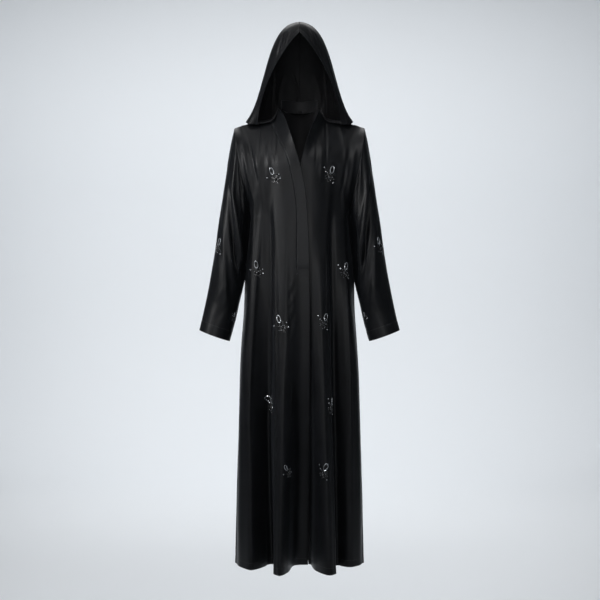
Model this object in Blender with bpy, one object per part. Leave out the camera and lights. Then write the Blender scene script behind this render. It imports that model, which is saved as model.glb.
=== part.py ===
"""Abaya cloak: a hooded, open-fronted robe, filled out as if worn, with nobody inside.

Metres, +Z up, the front faces -Y and the wearer's right is -X. The origin is the middle of
the neck base, between the two shoulder seams, where a wearer's shoulders hold the garment.

Every cloth piece is one grid of points on a smooth form. Neighbouring pieces share their
points and their surface directions along a seam, then each edge draws back by half of the
seam gap, so the walls face each other squarely all along it.
"""

import math

import bpy
import numpy as np

# Cloth
WALL = 0.0015
SEAM_GAP = 0.0004
LAY_ON = WALL + 0.0004  # how far a piece that lies on a panel is moved out from it
LAP = 0.0065  # how far the left front lies behind the right one
LAP_STEP = 0.0040  # where the left front comes out from under the lap
UNDER_LAP_AT_BUST = (0.024, 0.1115)

# Heights of the main levels
HEM_Z = -1.402
HIP_Z = -0.800
CHEST_Z = -0.330  # the underarm point
SHOULDER_TIP = (0.203, -0.005, -0.047)  # out from the middle, forward, up
NECK_SIDE = (0.062, 0.010, 0.010)
SHOULDER_DIP = 0.025  # how far the shoulder seam sinks beside the neck, below a straight line
SHOULDER_DIP_CURVE = (2.4, 0.6)  # how it is shared out between the tip and the neck
BUST_Z = (CHEST_Z + SHOULDER_TIP[2]) / 2
LEVELS = (HEM_Z, HIP_Z, CHEST_Z, BUST_Z, SHOULDER_TIP[2])

# Rows and columns of the grids
SKIRT_ROWS = 12
ARMHOLE_ROWS = 10
SEAM_COLUMNS = 14
NECK_COLUMNS = 8
SLEEVE_ROWS = 11
HOOD_COLUMNS = 10
HOOD_ROWS = 10
HOOD_UNDER_PLACES = (0, 0.17, 0.36, 0.66, 1)

# The half width of the body at its side seams: height, half width
SIDE_WIDTHS = (
    (HEM_Z, 0.2012),
    (-1.100, 0.1940),
    (HIP_Z, 0.1820),
    (-0.550, 0.1706),
    (-0.520, 0.1698),
    (-0.480, 0.1675),
    (-0.440, 0.1629),
    (-0.375, 0.1547),
    (CHEST_Z, 0.1500),
)

# Fold lines that run down the right front, from the side to the opening. Each row gives how
# far the line lies out from the middle and how far forward, at the bust, chest, hip and hem.
RIGHT_FRONT_FOLDS = (
    # name, bust, chest, hip, hem
    ("side ridge", (0.140, 0.090), (0.140, 0.078), (0.156, 0.090), (0.148, 0.099)),
    ("side trough", (0.106, 0.098), (0.094, 0.092), (0.0965, 0.066), (0.083, 0.022)),
    ("ridge outer edge", (0.085, 0.104), (0.073, 0.106), (0.0705, 0.116), (0.0745, 0.145)),
    ("front ridge", (0.065, 0.110), (0.049, 0.115), (0.050, 0.132), (0.058, 0.170)),
    ("ridge inner edge", (0.044, 0.114), (0.024, 0.119), (0.026, 0.124), (0.036, 0.130)),
    ("centre trough", (0.023, 0.117), (-0.002, 0.120), (0.000, 0.109), (0.013, 0.036)),
)
LEFT_FRONT_FOLDS = (
    ("side ridge", (0.138, 0.089), (0.138, 0.075), (0.158, 0.080), (0.160, 0.060)),
    ("side trough", (0.106, 0.097), (0.0985, 0.091), (0.105, 0.070), (0.117, 0.042)),
    ("ridge outer edge", (0.085, 0.103), (0.083, 0.101), (0.0900, 0.116), (0.1125, 0.134)),
    ("front ridge", (0.065, 0.109), (0.062, 0.109), (0.070, 0.131), (0.090, 0.163)),
    ("ridge inner edge", (0.044, 0.1115), (0.040, 0.113), (0.045, 0.114), (0.050, 0.108)),
)

# The front edges: height, out from the middle, forward. Each runs up the opening and then
# along the neck. The right front laps over the left one and passes the middle.
RIGHT_FRONT_EDGE = (
    (HEM_Z, -0.0258, 0.028),
    (-1.100, -0.0297, 0.066),
    (HIP_Z, -0.0300, 0.106),
    (-0.550, -0.0300, 0.118),
    (CHEST_Z, -0.0235, 0.120),
    (-0.250, -0.0166, 0.120),
    (-0.179, -0.0027, 0.119),
    (-0.132, 0.0106, 0.107),
    (-0.088, 0.0228, 0.091),
    (-0.045, 0.0364, 0.068),
    (-0.010, 0.0500, 0.040),
    (NECK_SIDE[2], NECK_SIDE[0], NECK_SIDE[1]),
)
LEFT_FRONT_EDGE = (
    (HEM_Z, 0.0285, 0.021),
    (-1.340, 0.0240, 0.029),
    (-1.100, 0.0120, 0.062),
    (HIP_Z, -0.0050, 0.101),
    (-0.550, -0.0100, 0.111),
    (CHEST_Z, -0.0120, 0.113),
    (-0.250, -0.0100, 0.113),
    (-0.179, 0.0020, 0.1120),
    (-0.129, 0.0136, 0.103),
    (-0.075, 0.0289, 0.083),
    (-0.043, 0.0405, 0.061),
    (-0.012, 0.0540, 0.034),
    (NECK_SIDE[2], NECK_SIDE[0], NECK_SIDE[1]),
)

# Fold lines of the back, from a side seam to the middle: out, and back (so forward is less
# than nothing), at the shoulder seam or neck, bust, chest, hip and hem.
RIGHT_BACK_FOLDS = (
    # name, bust, chest, hip, hem
    ("side ridge", (0.148, -0.101), (0.123, -0.078), (0.153, -0.086), (0.166, -0.088)),
    ("side trough", (0.117, -0.110), (0.097, -0.093), (0.118, -0.086), (0.128, -0.050)),
    ("back ridge", (0.085, -0.117), (0.071, -0.108), (0.088, -0.121), (0.096, -0.142)),
    ("back trough", (0.055, -0.117), (0.046, -0.110), (0.055, -0.106), (0.055, -0.082)),
    ("middle slope", (0.028, -0.119), (0.023, -0.116), (0.028, -0.121), (0.029, -0.112)),
)
CENTRE_BACK = ("centre back", (0.000, -0.120), (0.000, -0.118), (0.000, -0.136), (0.003, -0.156))
LEFT_BACK_FOLDS = (
    ("side ridge", (0.148, -0.101), (0.124, -0.079), (0.155, -0.082), (0.162, -0.076)),
    ("side trough", (0.117, -0.110), (0.096, -0.095), (0.120, -0.082), (0.134, -0.040)),
    ("back ridge", (0.085, -0.117), (0.069, -0.109), (0.083, -0.124), (0.086, -0.150)),
    ("back trough", (0.055, -0.117), (0.045, -0.112), (0.050, -0.108), (0.046, -0.088)),
    ("middle slope", (0.028, -0.119), (0.022, -0.117), (0.026, -0.124), (0.024, -0.121)),
)
NECK_BACK = (0.066, 0.005)  # the middle of the back neck: behind the origin, up
NECK_BACK_SLOPE = (0.044, -0.042)  # halfway round from the neck side: out, forward

# Armholes and sleeves
ARMHOLE_FRONT = 0.077  # how far the armhole swings forward and back of the side seam
ARMHOLE_BACK = 0.084
CUFF_CENTRE = (0.262, 0.034, -0.692)
CUFF_HALF_WIDTH = 0.0500
CUFF_HALF_DEPTH = 0.0560
CUFF_TILT = math.radians(20.0)  # the cuff is square to a sleeve that hangs outwards
SLEEVE_SPREAD = 0.020
SLEEVE_FULLNESS = 0.085
SLEEVE_STRAIGHTEN = 0.050
# Soft folds that wind down a sleeve: turns round from the underarm, height, half width, and
# the stretch of the sleeve that each runs along
SLEEVE_FOLDS = (
    # turn where it starts and ends, height, half width, from, to
    (132.0, 22.0, 0.0075, 17.0, 0.06, 0.52),
    (165.0, 22.0, -0.0080, 18.0, 0.16, 0.62),
    (34.0, 26.0, -0.0070, 17.0, 0.02, 0.50),
    (176.0, 50.0, 0.0060, 24.0, 0.32, 0.98),
    (0.0, 0.0, 0.0030, 20.0, 0.34, 0.72),
    (360.0, 360.0, 0.0030, 20.0, 0.34, 0.72),
    (208.0, 236.0, -0.0070, 22.0, 0.05, 0.70),
    (240.0, 285.0, 0.0080, 22.0, 0.08, 0.85),
    (318.0, 296.0, -0.0060, 22.0, 0.12, 0.72),
)

# Hood: hoops that stand from the shoulder to the crown, from the face opening to the back.
# Each is a cubic curve with a start on the shoulder, two handles and an end on the crown.
# Every point is out from the middle, forward, up.
HOOD_HOOPS = (
    # place, then out, forward and up of its start, lower handle, upper handle and end
    (
        0.00, (0.130, 0.022, -0.041), (0.122, 0.066, 0.066),
        (0.054, 0.108, 0.175), (0.000, 0.106, 0.229),
    ),
    (
        0.14, (0.158, 0.018, -0.039), (0.106, 0.036, 0.072),
        (0.098, 0.074, 0.240), (0.000, 0.076, 0.263),
    ),
    (
        0.32, (0.170, -0.010, -0.028), (0.086, 0.000, 0.080),
        (0.109, 0.020, 0.279), (0.000, 0.022, 0.273),
    ),
    (
        0.56, (0.150, -0.064, -0.032), (0.095, -0.072, 0.070),
        (0.102, -0.066, 0.240), (0.000, -0.074, 0.243),
    ),
    (
        0.80, (0.088, -0.106, -0.044), (0.084, -0.122, 0.028),
        (0.062, -0.136, 0.128), (0.000, -0.140, 0.142),
    ),
    (
        1.00, (0.000, -0.112, -0.050), (0.000, -0.121, -0.022),
        (0.000, -0.128, 0.008), (0.000, -0.133, 0.036),
    ),
)
HOOD_NECK = (0.0665, 0.0745)  # half width and half depth of the seam that joins hood and neck
HOOD_NECK_Z = 0.0165
HOOD_NECK_START = math.radians(-6.0)
HOOD_FOLD_ROUND = 0.0045  # how softly the hood turns under where it lies on the shoulders
HOOD_DROOP = (-0.004, 0.004, -0.024)  # how it falls between the neck and the shoulder
HOOD_DROOP_ENDS = (0.20, 0.70)  # where along the hood the droop starts to die out, and ends

# Trim
BAND_END_Z = -0.515
BAND_TOP = 0.15  # how far short of the shoulder seam the band ends, as a share of a row
BAND_COLUMNS = 3  # the panel's last columns, about 40 mm wide together
NECK_BAND = (0.0570, 0.0665)
NECK_BAND_Z = 0.0125
NECK_BAND_HEIGHT = 0.037
NECK_BAND_DROP = 0.014
NECK_BAND_SAG = 0.0045  # how much lower the band stands at its front ends
NECK_BAND_REACH = math.radians(8.0)
NECK_BAND_COLUMNS = 16
LOOP_WIDTH = 0.014
LOOP_HEIGHT = 0.005
LOOP_RISE = 0.003  # from the neck seam up to the loop

BLACK_CREPE = (0.012, 0.012, 0.014)
BLACK_SATIN = (0.016, 0.016, 0.019)

RIGHT = -1
LEFT = 1


def through(knots, values, at, steady=False):
    """Values at these places on a smooth line through the knots. A steady line never swings
    past a knot's own value."""
    knots = np.asarray(knots, float)
    values = np.asarray(values, float)
    steps = np.diff(knots)
    slopes = np.diff(values, axis=0) / steps.reshape([-1] + [1] * (values.ndim - 1))
    tangents = np.empty_like(values)
    tangents[0] = slopes[0]
    tangents[-1] = slopes[-1]
    before, after = steps[:-1], steps[1:]
    share = (after / (before + after)).reshape([-1] + [1] * (values.ndim - 1))
    tangents[1:-1] = slopes[:-1] * share + slopes[1:] * (1 - share)
    if steady:
        least = np.minimum(abs(slopes[:-1]), abs(slopes[1:]))
        same_way = slopes[:-1] * slopes[1:] > 0
        limit = np.where(same_way, 3 * least, 0)
        tangents[1:-1] = np.clip(tangents[1:-1], -limit, limit)
    at = np.clip(np.asarray(at, float), knots[0], knots[-1])
    span = np.clip(np.searchsorted(knots, at, side="right") - 1, 0, len(steps) - 1)
    width = steps[span]
    t = (at - knots[span]) / width
    if values.ndim > 1:
        t, width = np.expand_dims(t, -1), np.expand_dims(width, -1)
    return (
        (2 * t**3 - 3 * t**2 + 1) * values[span]
        + (t**3 - 2 * t**2 + t) * width * tangents[span]
        + (3 * t**2 - 2 * t**3) * values[span + 1]
        + (t**3 - t**2) * width * tangents[span + 1]
    )


def row_through(lines, places):
    """A row of points through its lines, where whole places fall on the lines themselves."""
    lines = np.asarray(lines, float)
    chords = np.linalg.norm(np.diff(lines, axis=0), axis=1)
    knots = np.concatenate([[0], np.cumsum(np.sqrt(chords))])
    return through(knots, lines, np.interp(places, np.arange(len(lines)), knots))


def unit(vectors):
    return vectors / np.maximum(np.linalg.norm(vectors, axis=-1, keepdims=True), 1e-12)


def mix(a, b, share):
    return a + (b - a) * share


# The body


def smooth_step(t):
    t = min(max(t, 0.0), 1.0)
    return t * t * (3 - 2 * t)


def armhole_height(turn):
    """Height on the armhole, at a turn from 0 at the underarm to pi at the shoulder tip."""
    return mix(CHEST_Z, SHOULDER_TIP[2], (1 - math.cos(turn)) / 2)


def armhole_point(turn, swing):
    """A point of the armhole as out, forward, up."""
    z = armhole_height(turn)
    rise = (z - CHEST_Z) / (SHOULDER_TIP[2] - CHEST_Z)
    out = SHOULDER_TIP[0] - (SHOULDER_TIP[0] - SIDE_WIDTHS[-1][1]) * (1 - rise) ** 1.2
    return (out, swing * math.sin(turn) + SHOULDER_TIP[1] * rise, z)


def inner_height(key):
    """Height of a row at the neck or opening, from its height at the side."""
    if key <= CHEST_Z:
        return key
    rise = (key - CHEST_Z) / (SHOULDER_TIP[2] - CHEST_Z)
    return mix(CHEST_Z, NECK_SIDE[2], rise)


def side_point(key, turn, swing):
    if key <= CHEST_Z:
        heights, widths = zip(*sorted(SIDE_WIDTHS))
        return (float(through(heights, widths, key)), 0.0, key)
    return armhole_point(turn, swing)


def rise_of(key):
    """How far up a row is between the underarm, at 0, and the shoulder seam, at 1."""
    return max(0.0, (key - CHEST_Z) / (SHOULDER_TIP[2] - CHEST_Z))


def shoulder_dip(share):
    """How far the shoulder seam sinks, from its tip, at 0, to the side of the neck, at 1."""
    first, last = SHOULDER_DIP_CURVE
    deepest = first / (first + last)
    greatest = deepest**first * (1 - deepest) ** last
    return SHOULDER_DIP * share**first * (1 - share) ** last / greatest


def shoulder_seam(places):
    seam = mix(np.array(SHOULDER_TIP), np.array(NECK_SIDE), places[:, None])
    seam[:, 2] -= shoulder_dip(places)
    return seam


def fold_point(fold, key, share):
    """Where a fold line crosses a row: share is 0 at the side and 1 at the neck side."""
    at_shoulder = [mix(a, b, share) for a, b in zip(SHOULDER_TIP[:2], NECK_SIDE[:2])]
    places = [*reversed(fold[1:]), at_shoulder]
    out, forward = through(LEVELS, places, key, steady=True)
    dip = shoulder_dip(share) * rise_of(key) ** 2
    return (out, forward, mix(key, inner_height(key), share) - dip)


def row_keys(skirt_rows, armhole_rows):
    """The rows from the hem up: height at the side, and turn round the armhole."""
    skirt = [(z, 0.0) for z in np.linspace(HEM_Z, CHEST_Z, skirt_rows + 1)[:-1]]
    turns = np.linspace(0, math.pi, armhole_rows + 1)
    return skirt + [(armhole_height(turn), turn) for turn in turns]


def edge_point(edge, height):
    z, out, forward = zip(*edge)
    return (float(through(z, out, height)), float(through(z, forward, height)), height)


def under_lap():
    """The fold line of the left front where it comes out from behind the right front's edge."""
    places = [UNDER_LAP_AT_BUST]
    for z in (CHEST_Z, HIP_Z, HEM_Z):
        out, forward, _ = edge_point(RIGHT_FRONT_EDGE, z)
        clear_of_edge = edge_point(LEFT_FRONT_EDGE, z)[0] + LAP_STEP
        places.append((max(LAP_STEP - out, clear_of_edge), forward - LAP))
    return ("under the lap", *places)


def front_row(folds, edge, key, turn, places):
    """Points of one row of a front, at these places from 0 at the side to 1 at the edge."""
    last = len(folds) + 1
    lines = [side_point(key, turn, ARMHOLE_FRONT)]
    lines += [fold_point(fold, key, (n + 1) / last) for n, fold in enumerate(folds)]
    lines.append(edge_point(edge, inner_height(key)))
    if rise_of(key) >= 1:
        return shoulder_seam(places)
    return row_through(lines, places * last)


def back_row(key, turn, side_places, neck_places):
    """Points of one whole row of the back, from the right side seam to the left one."""
    rise = rise_of(key)
    sides = []
    for folds, side in ((RIGHT_BACK_FOLDS, RIGHT), (LEFT_BACK_FOLDS, LEFT)):
        lines = [side_point(key, turn, -ARMHOLE_BACK)]
        lines += [fold_point(fold, key, (n + 1) / 4) for n, fold in enumerate(folds[:4])]
        slope = through(LEVELS, [*reversed(folds[4][1:]), NECK_BACK_SLOPE], key, steady=True)
        lines.append((slope[0], slope[1], mix(inner_height(key), NECK_BACK[1], rise**4 / 2)))
        sides.append(np.array(lines) * (side, 1, 1))
    middle = through(LEVELS, [*reversed(CENTRE_BACK[1:]), (0, -NECK_BACK[0])], key, steady=True)
    centre = [(middle[0], middle[1], mix(inner_height(key), NECK_BACK[1], rise**4))]
    lines = np.concatenate([sides[0], centre, sides[1][::-1]])
    neck_line, last = 4, len(lines) - 1
    row = row_through(lines, np.concatenate([
        side_places * neck_line,
        mix(neck_line, last - neck_line, neck_places[1:-1]),
        last - side_places[::-1] * neck_line,
    ]))
    if rise >= 1:
        seam = shoulder_seam(side_places)
        row[: len(seam)] = seam * (RIGHT, 1, 1)
        row[-len(seam) :] = seam[::-1] * (LEFT, 1, 1)
    return row


def placed(points, side=1):
    """From out, forward, up to the frame's x, y, z."""
    return np.asarray(points, float) * (side, -1, 1)


def front_grid(folds, edge, side, places, keys):
    return np.array([placed(front_row(folds, edge, key, turn, places), side) for key, turn in keys])


def back_grid(keys):
    side_places = np.linspace(0, 1, SEAM_COLUMNS + 1)
    neck_places = np.linspace(0, 1, NECK_COLUMNS + 1)
    return np.array([placed(back_row(key, turn, side_places, neck_places)) for key, turn in keys])


# The sleeves


def sleeve_grid(side, rows, armhole_rows):
    """Rings from the armhole to the cuff, starting and ending at the underarm seam."""
    rising = np.linspace(0, math.pi, armhole_rows + 1)
    turns = np.concatenate([rising, 2 * math.pi - rising[-2::-1]])
    grid = np.empty((rows + 1, len(turns), 3))
    for column, turn in enumerate(turns):
        swing = ARMHOLE_FRONT if turn <= math.pi else ARMHOLE_BACK
        start = np.array(armhole_point(min(turn, 2 * math.pi - turn), swing))
        if turn > math.pi:
            start[1] = armhole_point(2 * math.pi - turn, -ARMHOLE_BACK)[1]
        across, forward = -math.cos(turn), math.sin(turn)
        end = np.array(CUFF_CENTRE) + (
            across * CUFF_HALF_WIDTH * math.cos(CUFF_TILT),
            forward * CUFF_HALF_DEPTH,
            across * CUFF_HALF_WIDTH * math.sin(CUFF_TILT),
        )
        leave = end - start + (SLEEVE_SPREAD * across, SLEEVE_FULLNESS * forward, 0)
        arrive = end - start + (SLEEVE_STRAIGHTEN, 0.02, 0)
        s = np.linspace(0, 1, rows + 1)[:, None]
        path = (
            (2 * s**3 - 3 * s**2 + 1) * start
            + (s**3 - 2 * s**2 + s) * leave
            + (3 * s**2 - 2 * s**3) * end
            + (s**3 - s**2) * arrive
        )
        out_from_axis = np.array([across, forward, 0.0])
        for at_first, at_final, height, half, first, final in SLEEVE_FOLDS:
            along = np.clip((s - first) / (final - first), 0, 1)
            away = (math.degrees(turn) - mix(at_first, at_final, along)) / half
            path += height * np.exp(-away * away) * np.sin(math.pi * along) ** 2 * out_from_axis
        grid[:, column] = placed(path, side)
    grid[:, -1] = grid[:, 0]
    return grid


# The hood


def droop_share(t):
    """How much of the droop there is between the neck seam, at 0, and the shoulder, at 1."""
    return 6.75 * t * (1 - t) ** 2


def hood_grid(side, columns, rows):
    """Hoops from the face opening to the centre back, each from the neck seam to the crown."""
    places = [hoop[0] for hoop in HOOD_HOOPS]
    handles = np.array([hoop[1:] for hoop in HOOD_HOOPS], float)
    grid = []
    for place in np.linspace(0, 1, columns + 1):
        hoop = through(places, handles.reshape(len(places), -1), place)
        start, lower, upper, end = hoop.reshape(4, 3)
        angle = mix(HOOD_NECK_START, math.pi / 2, place)
        seam = np.array([
            HOOD_NECK[0] * math.cos(angle),
            0.006 - HOOD_NECK[1] * math.sin(angle),
            HOOD_NECK_Z - 0.004 * place,
        ])
        t = np.linspace(0, 1, rows + 1)[:, None]
        rise = (
            (1 - t) ** 3 * start
            + 3 * (1 - t) ** 2 * t * lower
            + 3 * (1 - t) * t**2 * upper
            + t**3 * end
        )
        inward = unit(seam - start)
        upward = unit(lower - start)
        turn_in = start + HOOD_FOLD_ROUND * inward
        turn_up = start + HOOD_FOLD_ROUND * upward
        first, last = HOOD_DROOP_ENDS
        droop = np.array(HOOD_DROOP) * (1 - smooth_step((place - first) / (last - first)))
        under = [mix(seam, turn_in, t) + droop * droop_share(t) for t in HOOD_UNDER_PLACES]
        corner = [mix(start, (turn_in + turn_up) / 2, 0.5), turn_up]
        grid.append(np.concatenate([under, corner, rise[1:]]))
    grid = np.array(grid)
    grid[-1, :, 0] = 0.0
    return placed(grid, side)


# Trim


def band_grid(panel, directions):
    """The band on the right front, made of the panel's own last columns and directions, from
    the neck down to the end of the fastening."""
    heights = panel[:, -1, 2]
    first = int(np.searchsorted(heights, BAND_END_Z))
    foot = (BAND_END_Z - heights[first - 1]) / (heights[first] - heights[first - 1])
    both = []
    for whole in (panel, directions):
        strip = whole[:, -BAND_COLUMNS - 1 :]
        lowest = mix(strip[first - 1], strip[first], foot)[None]
        top = mix(strip[-1], strip[-2], BAND_TOP)[None]
        both.append(np.concatenate([lowest, strip[first:-1], top]))
    return both[0], unit(both[1])


def neck_band_grid():
    angles = np.linspace(-NECK_BAND_REACH, math.pi + NECK_BAND_REACH, NECK_BAND_COLUMNS + 1)
    rows = []
    for share in (0.0, 0.5, 1.0):
        sag = NECK_BAND_SAG * np.sin(np.clip(angles, 0, math.pi)) ** 2
        top = NECK_BAND_HEIGHT - NECK_BAND_DROP * (1 - np.sin(np.clip(angles, 0, math.pi))) ** 2
        rows.append(np.stack([
            -NECK_BAND[0] * np.cos(angles),
            -0.006 + NECK_BAND[1] * np.sin(angles),
            NECK_BAND_Z - sag + share * top,
        ], -1))
    return np.array(rows)


def hang_loop_grid(neck_band):
    """A short plain strip across the middle of the neck band, on its inner face."""
    middle = neck_band.shape[1] // 2
    row = neck_band[0, middle - 1 : middle + 2]
    reach = LOOP_WIDTH / 2 / np.linalg.norm(row[2] - row[1])
    row = np.array([mix(row[1], row[0], reach), row[1], mix(row[1], row[2], reach)])
    row[:, 1] -= WALL + 2 * LAY_ON
    return np.array([row + (0, 0, LOOP_RISE), row + (0, 0, LOOP_RISE + LOOP_HEIGHT)])


# Walls

FACING = -0.8  # body walls whose directions are more opposed than this face each other
NEVER_FACING = -1.1


def surface_directions(grid, closed):
    """The direction square to a grid at each of its points."""
    if closed:
        across = np.roll(grid[:, :-1], -1, axis=1) - np.roll(grid[:, :-1], 1, axis=1)
        across = np.concatenate([across, across[:, :1]], axis=1)
    else:
        across = np.gradient(grid, axis=1)
    return unit(np.cross(across, np.gradient(grid, axis=0)))


def point_key(point):
    return tuple(np.round(point, 5) + 0.0)


def shared_directions(pieces, facing):
    """Directions that the pieces agree on at a seam, except where two of them face each other,
    as a sleeve and the side of the body do at the underarm."""
    meeting = {}
    own = {}
    for name, (grid, closed, flip) in pieces.items():
        own[name] = surface_directions(grid, closed) * flip
        for point, direction in zip(grid.reshape(-1, 3), own[name].reshape(-1, 3)):
            meeting.setdefault(point_key(point), []).append(direction)
    shared = {}
    for name, (grid, _, _) in pieces.items():
        found = [
            sum(other for other in meeting[point_key(point)] if other @ direction > facing)
            for point, direction in zip(grid.reshape(-1, 3), own[name].reshape(-1, 3))
        ]
        shared[name] = unit(np.array(found)).reshape(grid.shape)
    return shared


def drawn_back(grid, closed):
    """The grid with each edge moved in by half of the seam gap."""
    grid = grid.copy()
    half = SEAM_GAP if closed else SEAM_GAP / 2  # a sleeve meets three pieces at the underarm
    grid[0] += half * unit(grid[1] - grid[0])
    grid[-1] += half * unit(grid[-2] - grid[-1])
    if not closed:
        grid[:, 0] += half * unit(grid[:, 1] - grid[:, 0])
        grid[:, -1] += half * unit(grid[:, -2] - grid[:, -1])
    return grid


def cloth_piece(name, grid, directions, closed, material, collection):
    """A wall on a grid: its outer face is the grid, and its inner face lies a wall inside it."""
    outer = drawn_back(grid, closed)
    inner = outer - WALL * directions
    if closed:
        outer, inner = outer[:, :-1], inner[:, :-1]
    rows, columns = outer.shape[:2]
    points = np.concatenate([outer.reshape(-1, 3), inner.reshape(-1, 3)])
    below = rows * columns

    def around(ends):
        return ((ends[1], 0), (ends[0], 0), (ends[0], 1), (ends[1], 1))

    def at(row, column, layer):
        return layer * below + row * columns + column % columns

    faces = []
    spans = columns if closed else columns - 1
    for row in range(rows - 1):
        for column in range(spans):
            low, high = at(row, column, 0), at(row + 1, column, 0)
            low_next, high_next = at(row, column + 1, 0), at(row + 1, column + 1, 0)
            for half in ([low, low_next, high_next], [low, high_next, high]):
                faces += [half, [corner + below for corner in reversed(half)]]
    for column in range(spans):
        for row, step in ((0, 1), (rows - 1, -1)):
            ends = (column, column + 1)[::step]
            faces.append([at(row, end, layer) for end, layer in around(ends)])
    if not closed:
        for row in range(rows - 1):
            for column, step in ((0, -1), (columns - 1, 1)):
                ends = (row, row + 1)[::step]
                faces.append([at(end, column, layer) for end, layer in around(ends)])
    mesh = bpy.data.meshes.new(name)
    mesh.from_pydata([tuple(point) for point in points], [], faces)
    outward = np.einsum("ijk,ijk->ij", surface_directions(grid, closed), directions).mean()
    if outward < 0:
        mesh.flip_normals()
    mesh.materials.append(material)
    mesh.shade_smooth()
    made = bpy.data.objects.new(name, mesh)
    collection.objects.link(made)
    return made


def cloth_material(name, colour, roughness):
    material = bpy.data.materials.new(name)
    material.use_nodes = True
    shader = material.node_tree.nodes["Principled BSDF"]
    shader.inputs["Base Color"].default_value = (*colour, 1.0)
    shader.inputs["Roughness"].default_value = roughness
    shader.inputs["Metallic"].default_value = 0.0
    material.diffuse_color = (*colour, 1.0)
    return material


def clear_scene():
    for thing in list(bpy.data.objects):
        bpy.data.objects.remove(thing, do_unlink=True)


def main():
    clear_scene()
    collection = bpy.data.collections.new("abaya_cloak")
    bpy.context.scene.collection.children.link(collection)
    crepe = cloth_material("black crepe", BLACK_CREPE, 0.62)
    satin = cloth_material("black satin band", BLACK_SATIN, 0.50)

    keys = row_keys(SKIRT_ROWS, ARMHOLE_ROWS)
    places = np.linspace(0, 1, SEAM_COLUMNS + 1)
    left_folds = (*LEFT_FRONT_FOLDS, under_lap())
    right_front = front_grid(RIGHT_FRONT_FOLDS, RIGHT_FRONT_EDGE, RIGHT, places, keys)
    left_front = front_grid(left_folds, LEFT_FRONT_EDGE, LEFT, places, keys)
    body = {
        "right_front": (right_front, False, 1),
        "left_front": (left_front, False, -1),
        "back": (back_grid(keys), False, -1),
        "right_sleeve": (sleeve_grid(RIGHT, SLEEVE_ROWS, ARMHOLE_ROWS), True, 1),
        "left_sleeve": (sleeve_grid(LEFT, SLEEVE_ROWS, ARMHOLE_ROWS), True, -1),
    }
    hood = {
        "hood_right": (hood_grid(RIGHT, HOOD_COLUMNS, HOOD_ROWS), False, 1),
        "hood_left": (hood_grid(LEFT, HOOD_COLUMNS, HOOD_ROWS), False, -1),
    }
    neck_band = neck_band_grid()
    trim = {"neck_band": (neck_band, False, -1)}
    directions = {}
    for pieces, facing in ((body, FACING), (hood, NEVER_FACING), (trim, NEVER_FACING)):
        directions.update(shared_directions(pieces, facing))
        for name, (grid, closed, _) in pieces.items():
            cloth_piece(name, grid, directions[name], closed, crepe, collection)

    band, square = band_grid(body["right_front"][0], directions["right_front"])
    cloth_piece("right_front_band", band + LAY_ON * square, square, False, satin, collection)
    loop = hang_loop_grid(neck_band)
    forward = np.zeros_like(loop) + (0, 1, 0)
    cloth_piece("hang_loop", loop, forward, False, satin, collection)


main()
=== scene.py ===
"""Looks of a black hooded abaya cloak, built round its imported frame.

Metres, +Z up, the front faces -Y and the wearer's right is -X. Each cut piece of cloth is a
thin shell on the same smooth form as its solid in the frame, with its creases, seams, hems,
stitches and beadwork added.
"""

import math

import bpy
import numpy as np
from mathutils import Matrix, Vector, noise
from mathutils.bvhtree import BVHTree


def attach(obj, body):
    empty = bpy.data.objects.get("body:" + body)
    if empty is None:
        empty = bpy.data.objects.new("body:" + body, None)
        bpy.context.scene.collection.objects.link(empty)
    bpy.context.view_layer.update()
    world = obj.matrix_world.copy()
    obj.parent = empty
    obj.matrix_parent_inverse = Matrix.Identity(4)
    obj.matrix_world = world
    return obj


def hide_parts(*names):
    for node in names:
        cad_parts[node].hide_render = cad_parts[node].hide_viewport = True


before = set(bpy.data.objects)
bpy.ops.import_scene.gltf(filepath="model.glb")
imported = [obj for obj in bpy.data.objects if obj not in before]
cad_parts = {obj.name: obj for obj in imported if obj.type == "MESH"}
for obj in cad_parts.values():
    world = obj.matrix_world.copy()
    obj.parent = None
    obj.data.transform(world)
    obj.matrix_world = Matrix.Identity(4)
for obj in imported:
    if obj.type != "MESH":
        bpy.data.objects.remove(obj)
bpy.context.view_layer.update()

RIGHT = -1
LEFT = 1
MM = 0.001

# ---------------------------------------------------------------- sizes of the cloth

WALL = 0.0015
LAY_ON = WALL + 0.0004  # how far a piece that lies on a panel is moved out from it
LAP = 0.0065  # how far the left front lies behind the right one
LAP_STEP = 0.0040
UNDER_LAP_AT_BUST = (0.024, 0.1115)

HEM_Z = -1.402
HIP_Z = -0.800
CHEST_Z = -0.330
SHOULDER_TIP = (0.203, -0.005, -0.047)  # out from the middle, forward, up
NECK_SIDE = (0.062, 0.010, 0.010)
SHOULDER_DIP = 0.025  # how far the shoulder seam sinks beside the neck, below a straight line
SHOULDER_DIP_CURVE = (2.4, 0.6)  # how it is shared out between the tip and the neck
BUST_Z = (CHEST_Z + SHOULDER_TIP[2]) / 2
LEVELS = (HEM_Z, HIP_Z, CHEST_Z, BUST_Z, SHOULDER_TIP[2])

# Points along and across each piece
SKIRT_ROWS = 98
ARMHOLE_ROWS = 52
FRONT_COLUMNS = 130
BACK_NECK_COLUMNS = 36
SLEEVE_ROWS = 130
HOOD_COLUMNS = 170
HOOD_ROWS = 84
NECK_BAND_ROWS = 14
# More of them lie close to both ends, at these shares of the whole way
SKIRT_END_ROWS = (0.0012, 0.0028, 0.0055)
FRONT_END_COLUMNS = (0.0028, 0.0065, 0.0120)
SLEEVE_END_ROWS = (0.0016, 0.0040, 0.0080)
HOOD_END_COLUMNS = (0.002, 0.006)
HOOD_END_ROWS = (0.003, 0.008)
NECK_BAND_END_ROWS = (0.02, 0.05)

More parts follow.
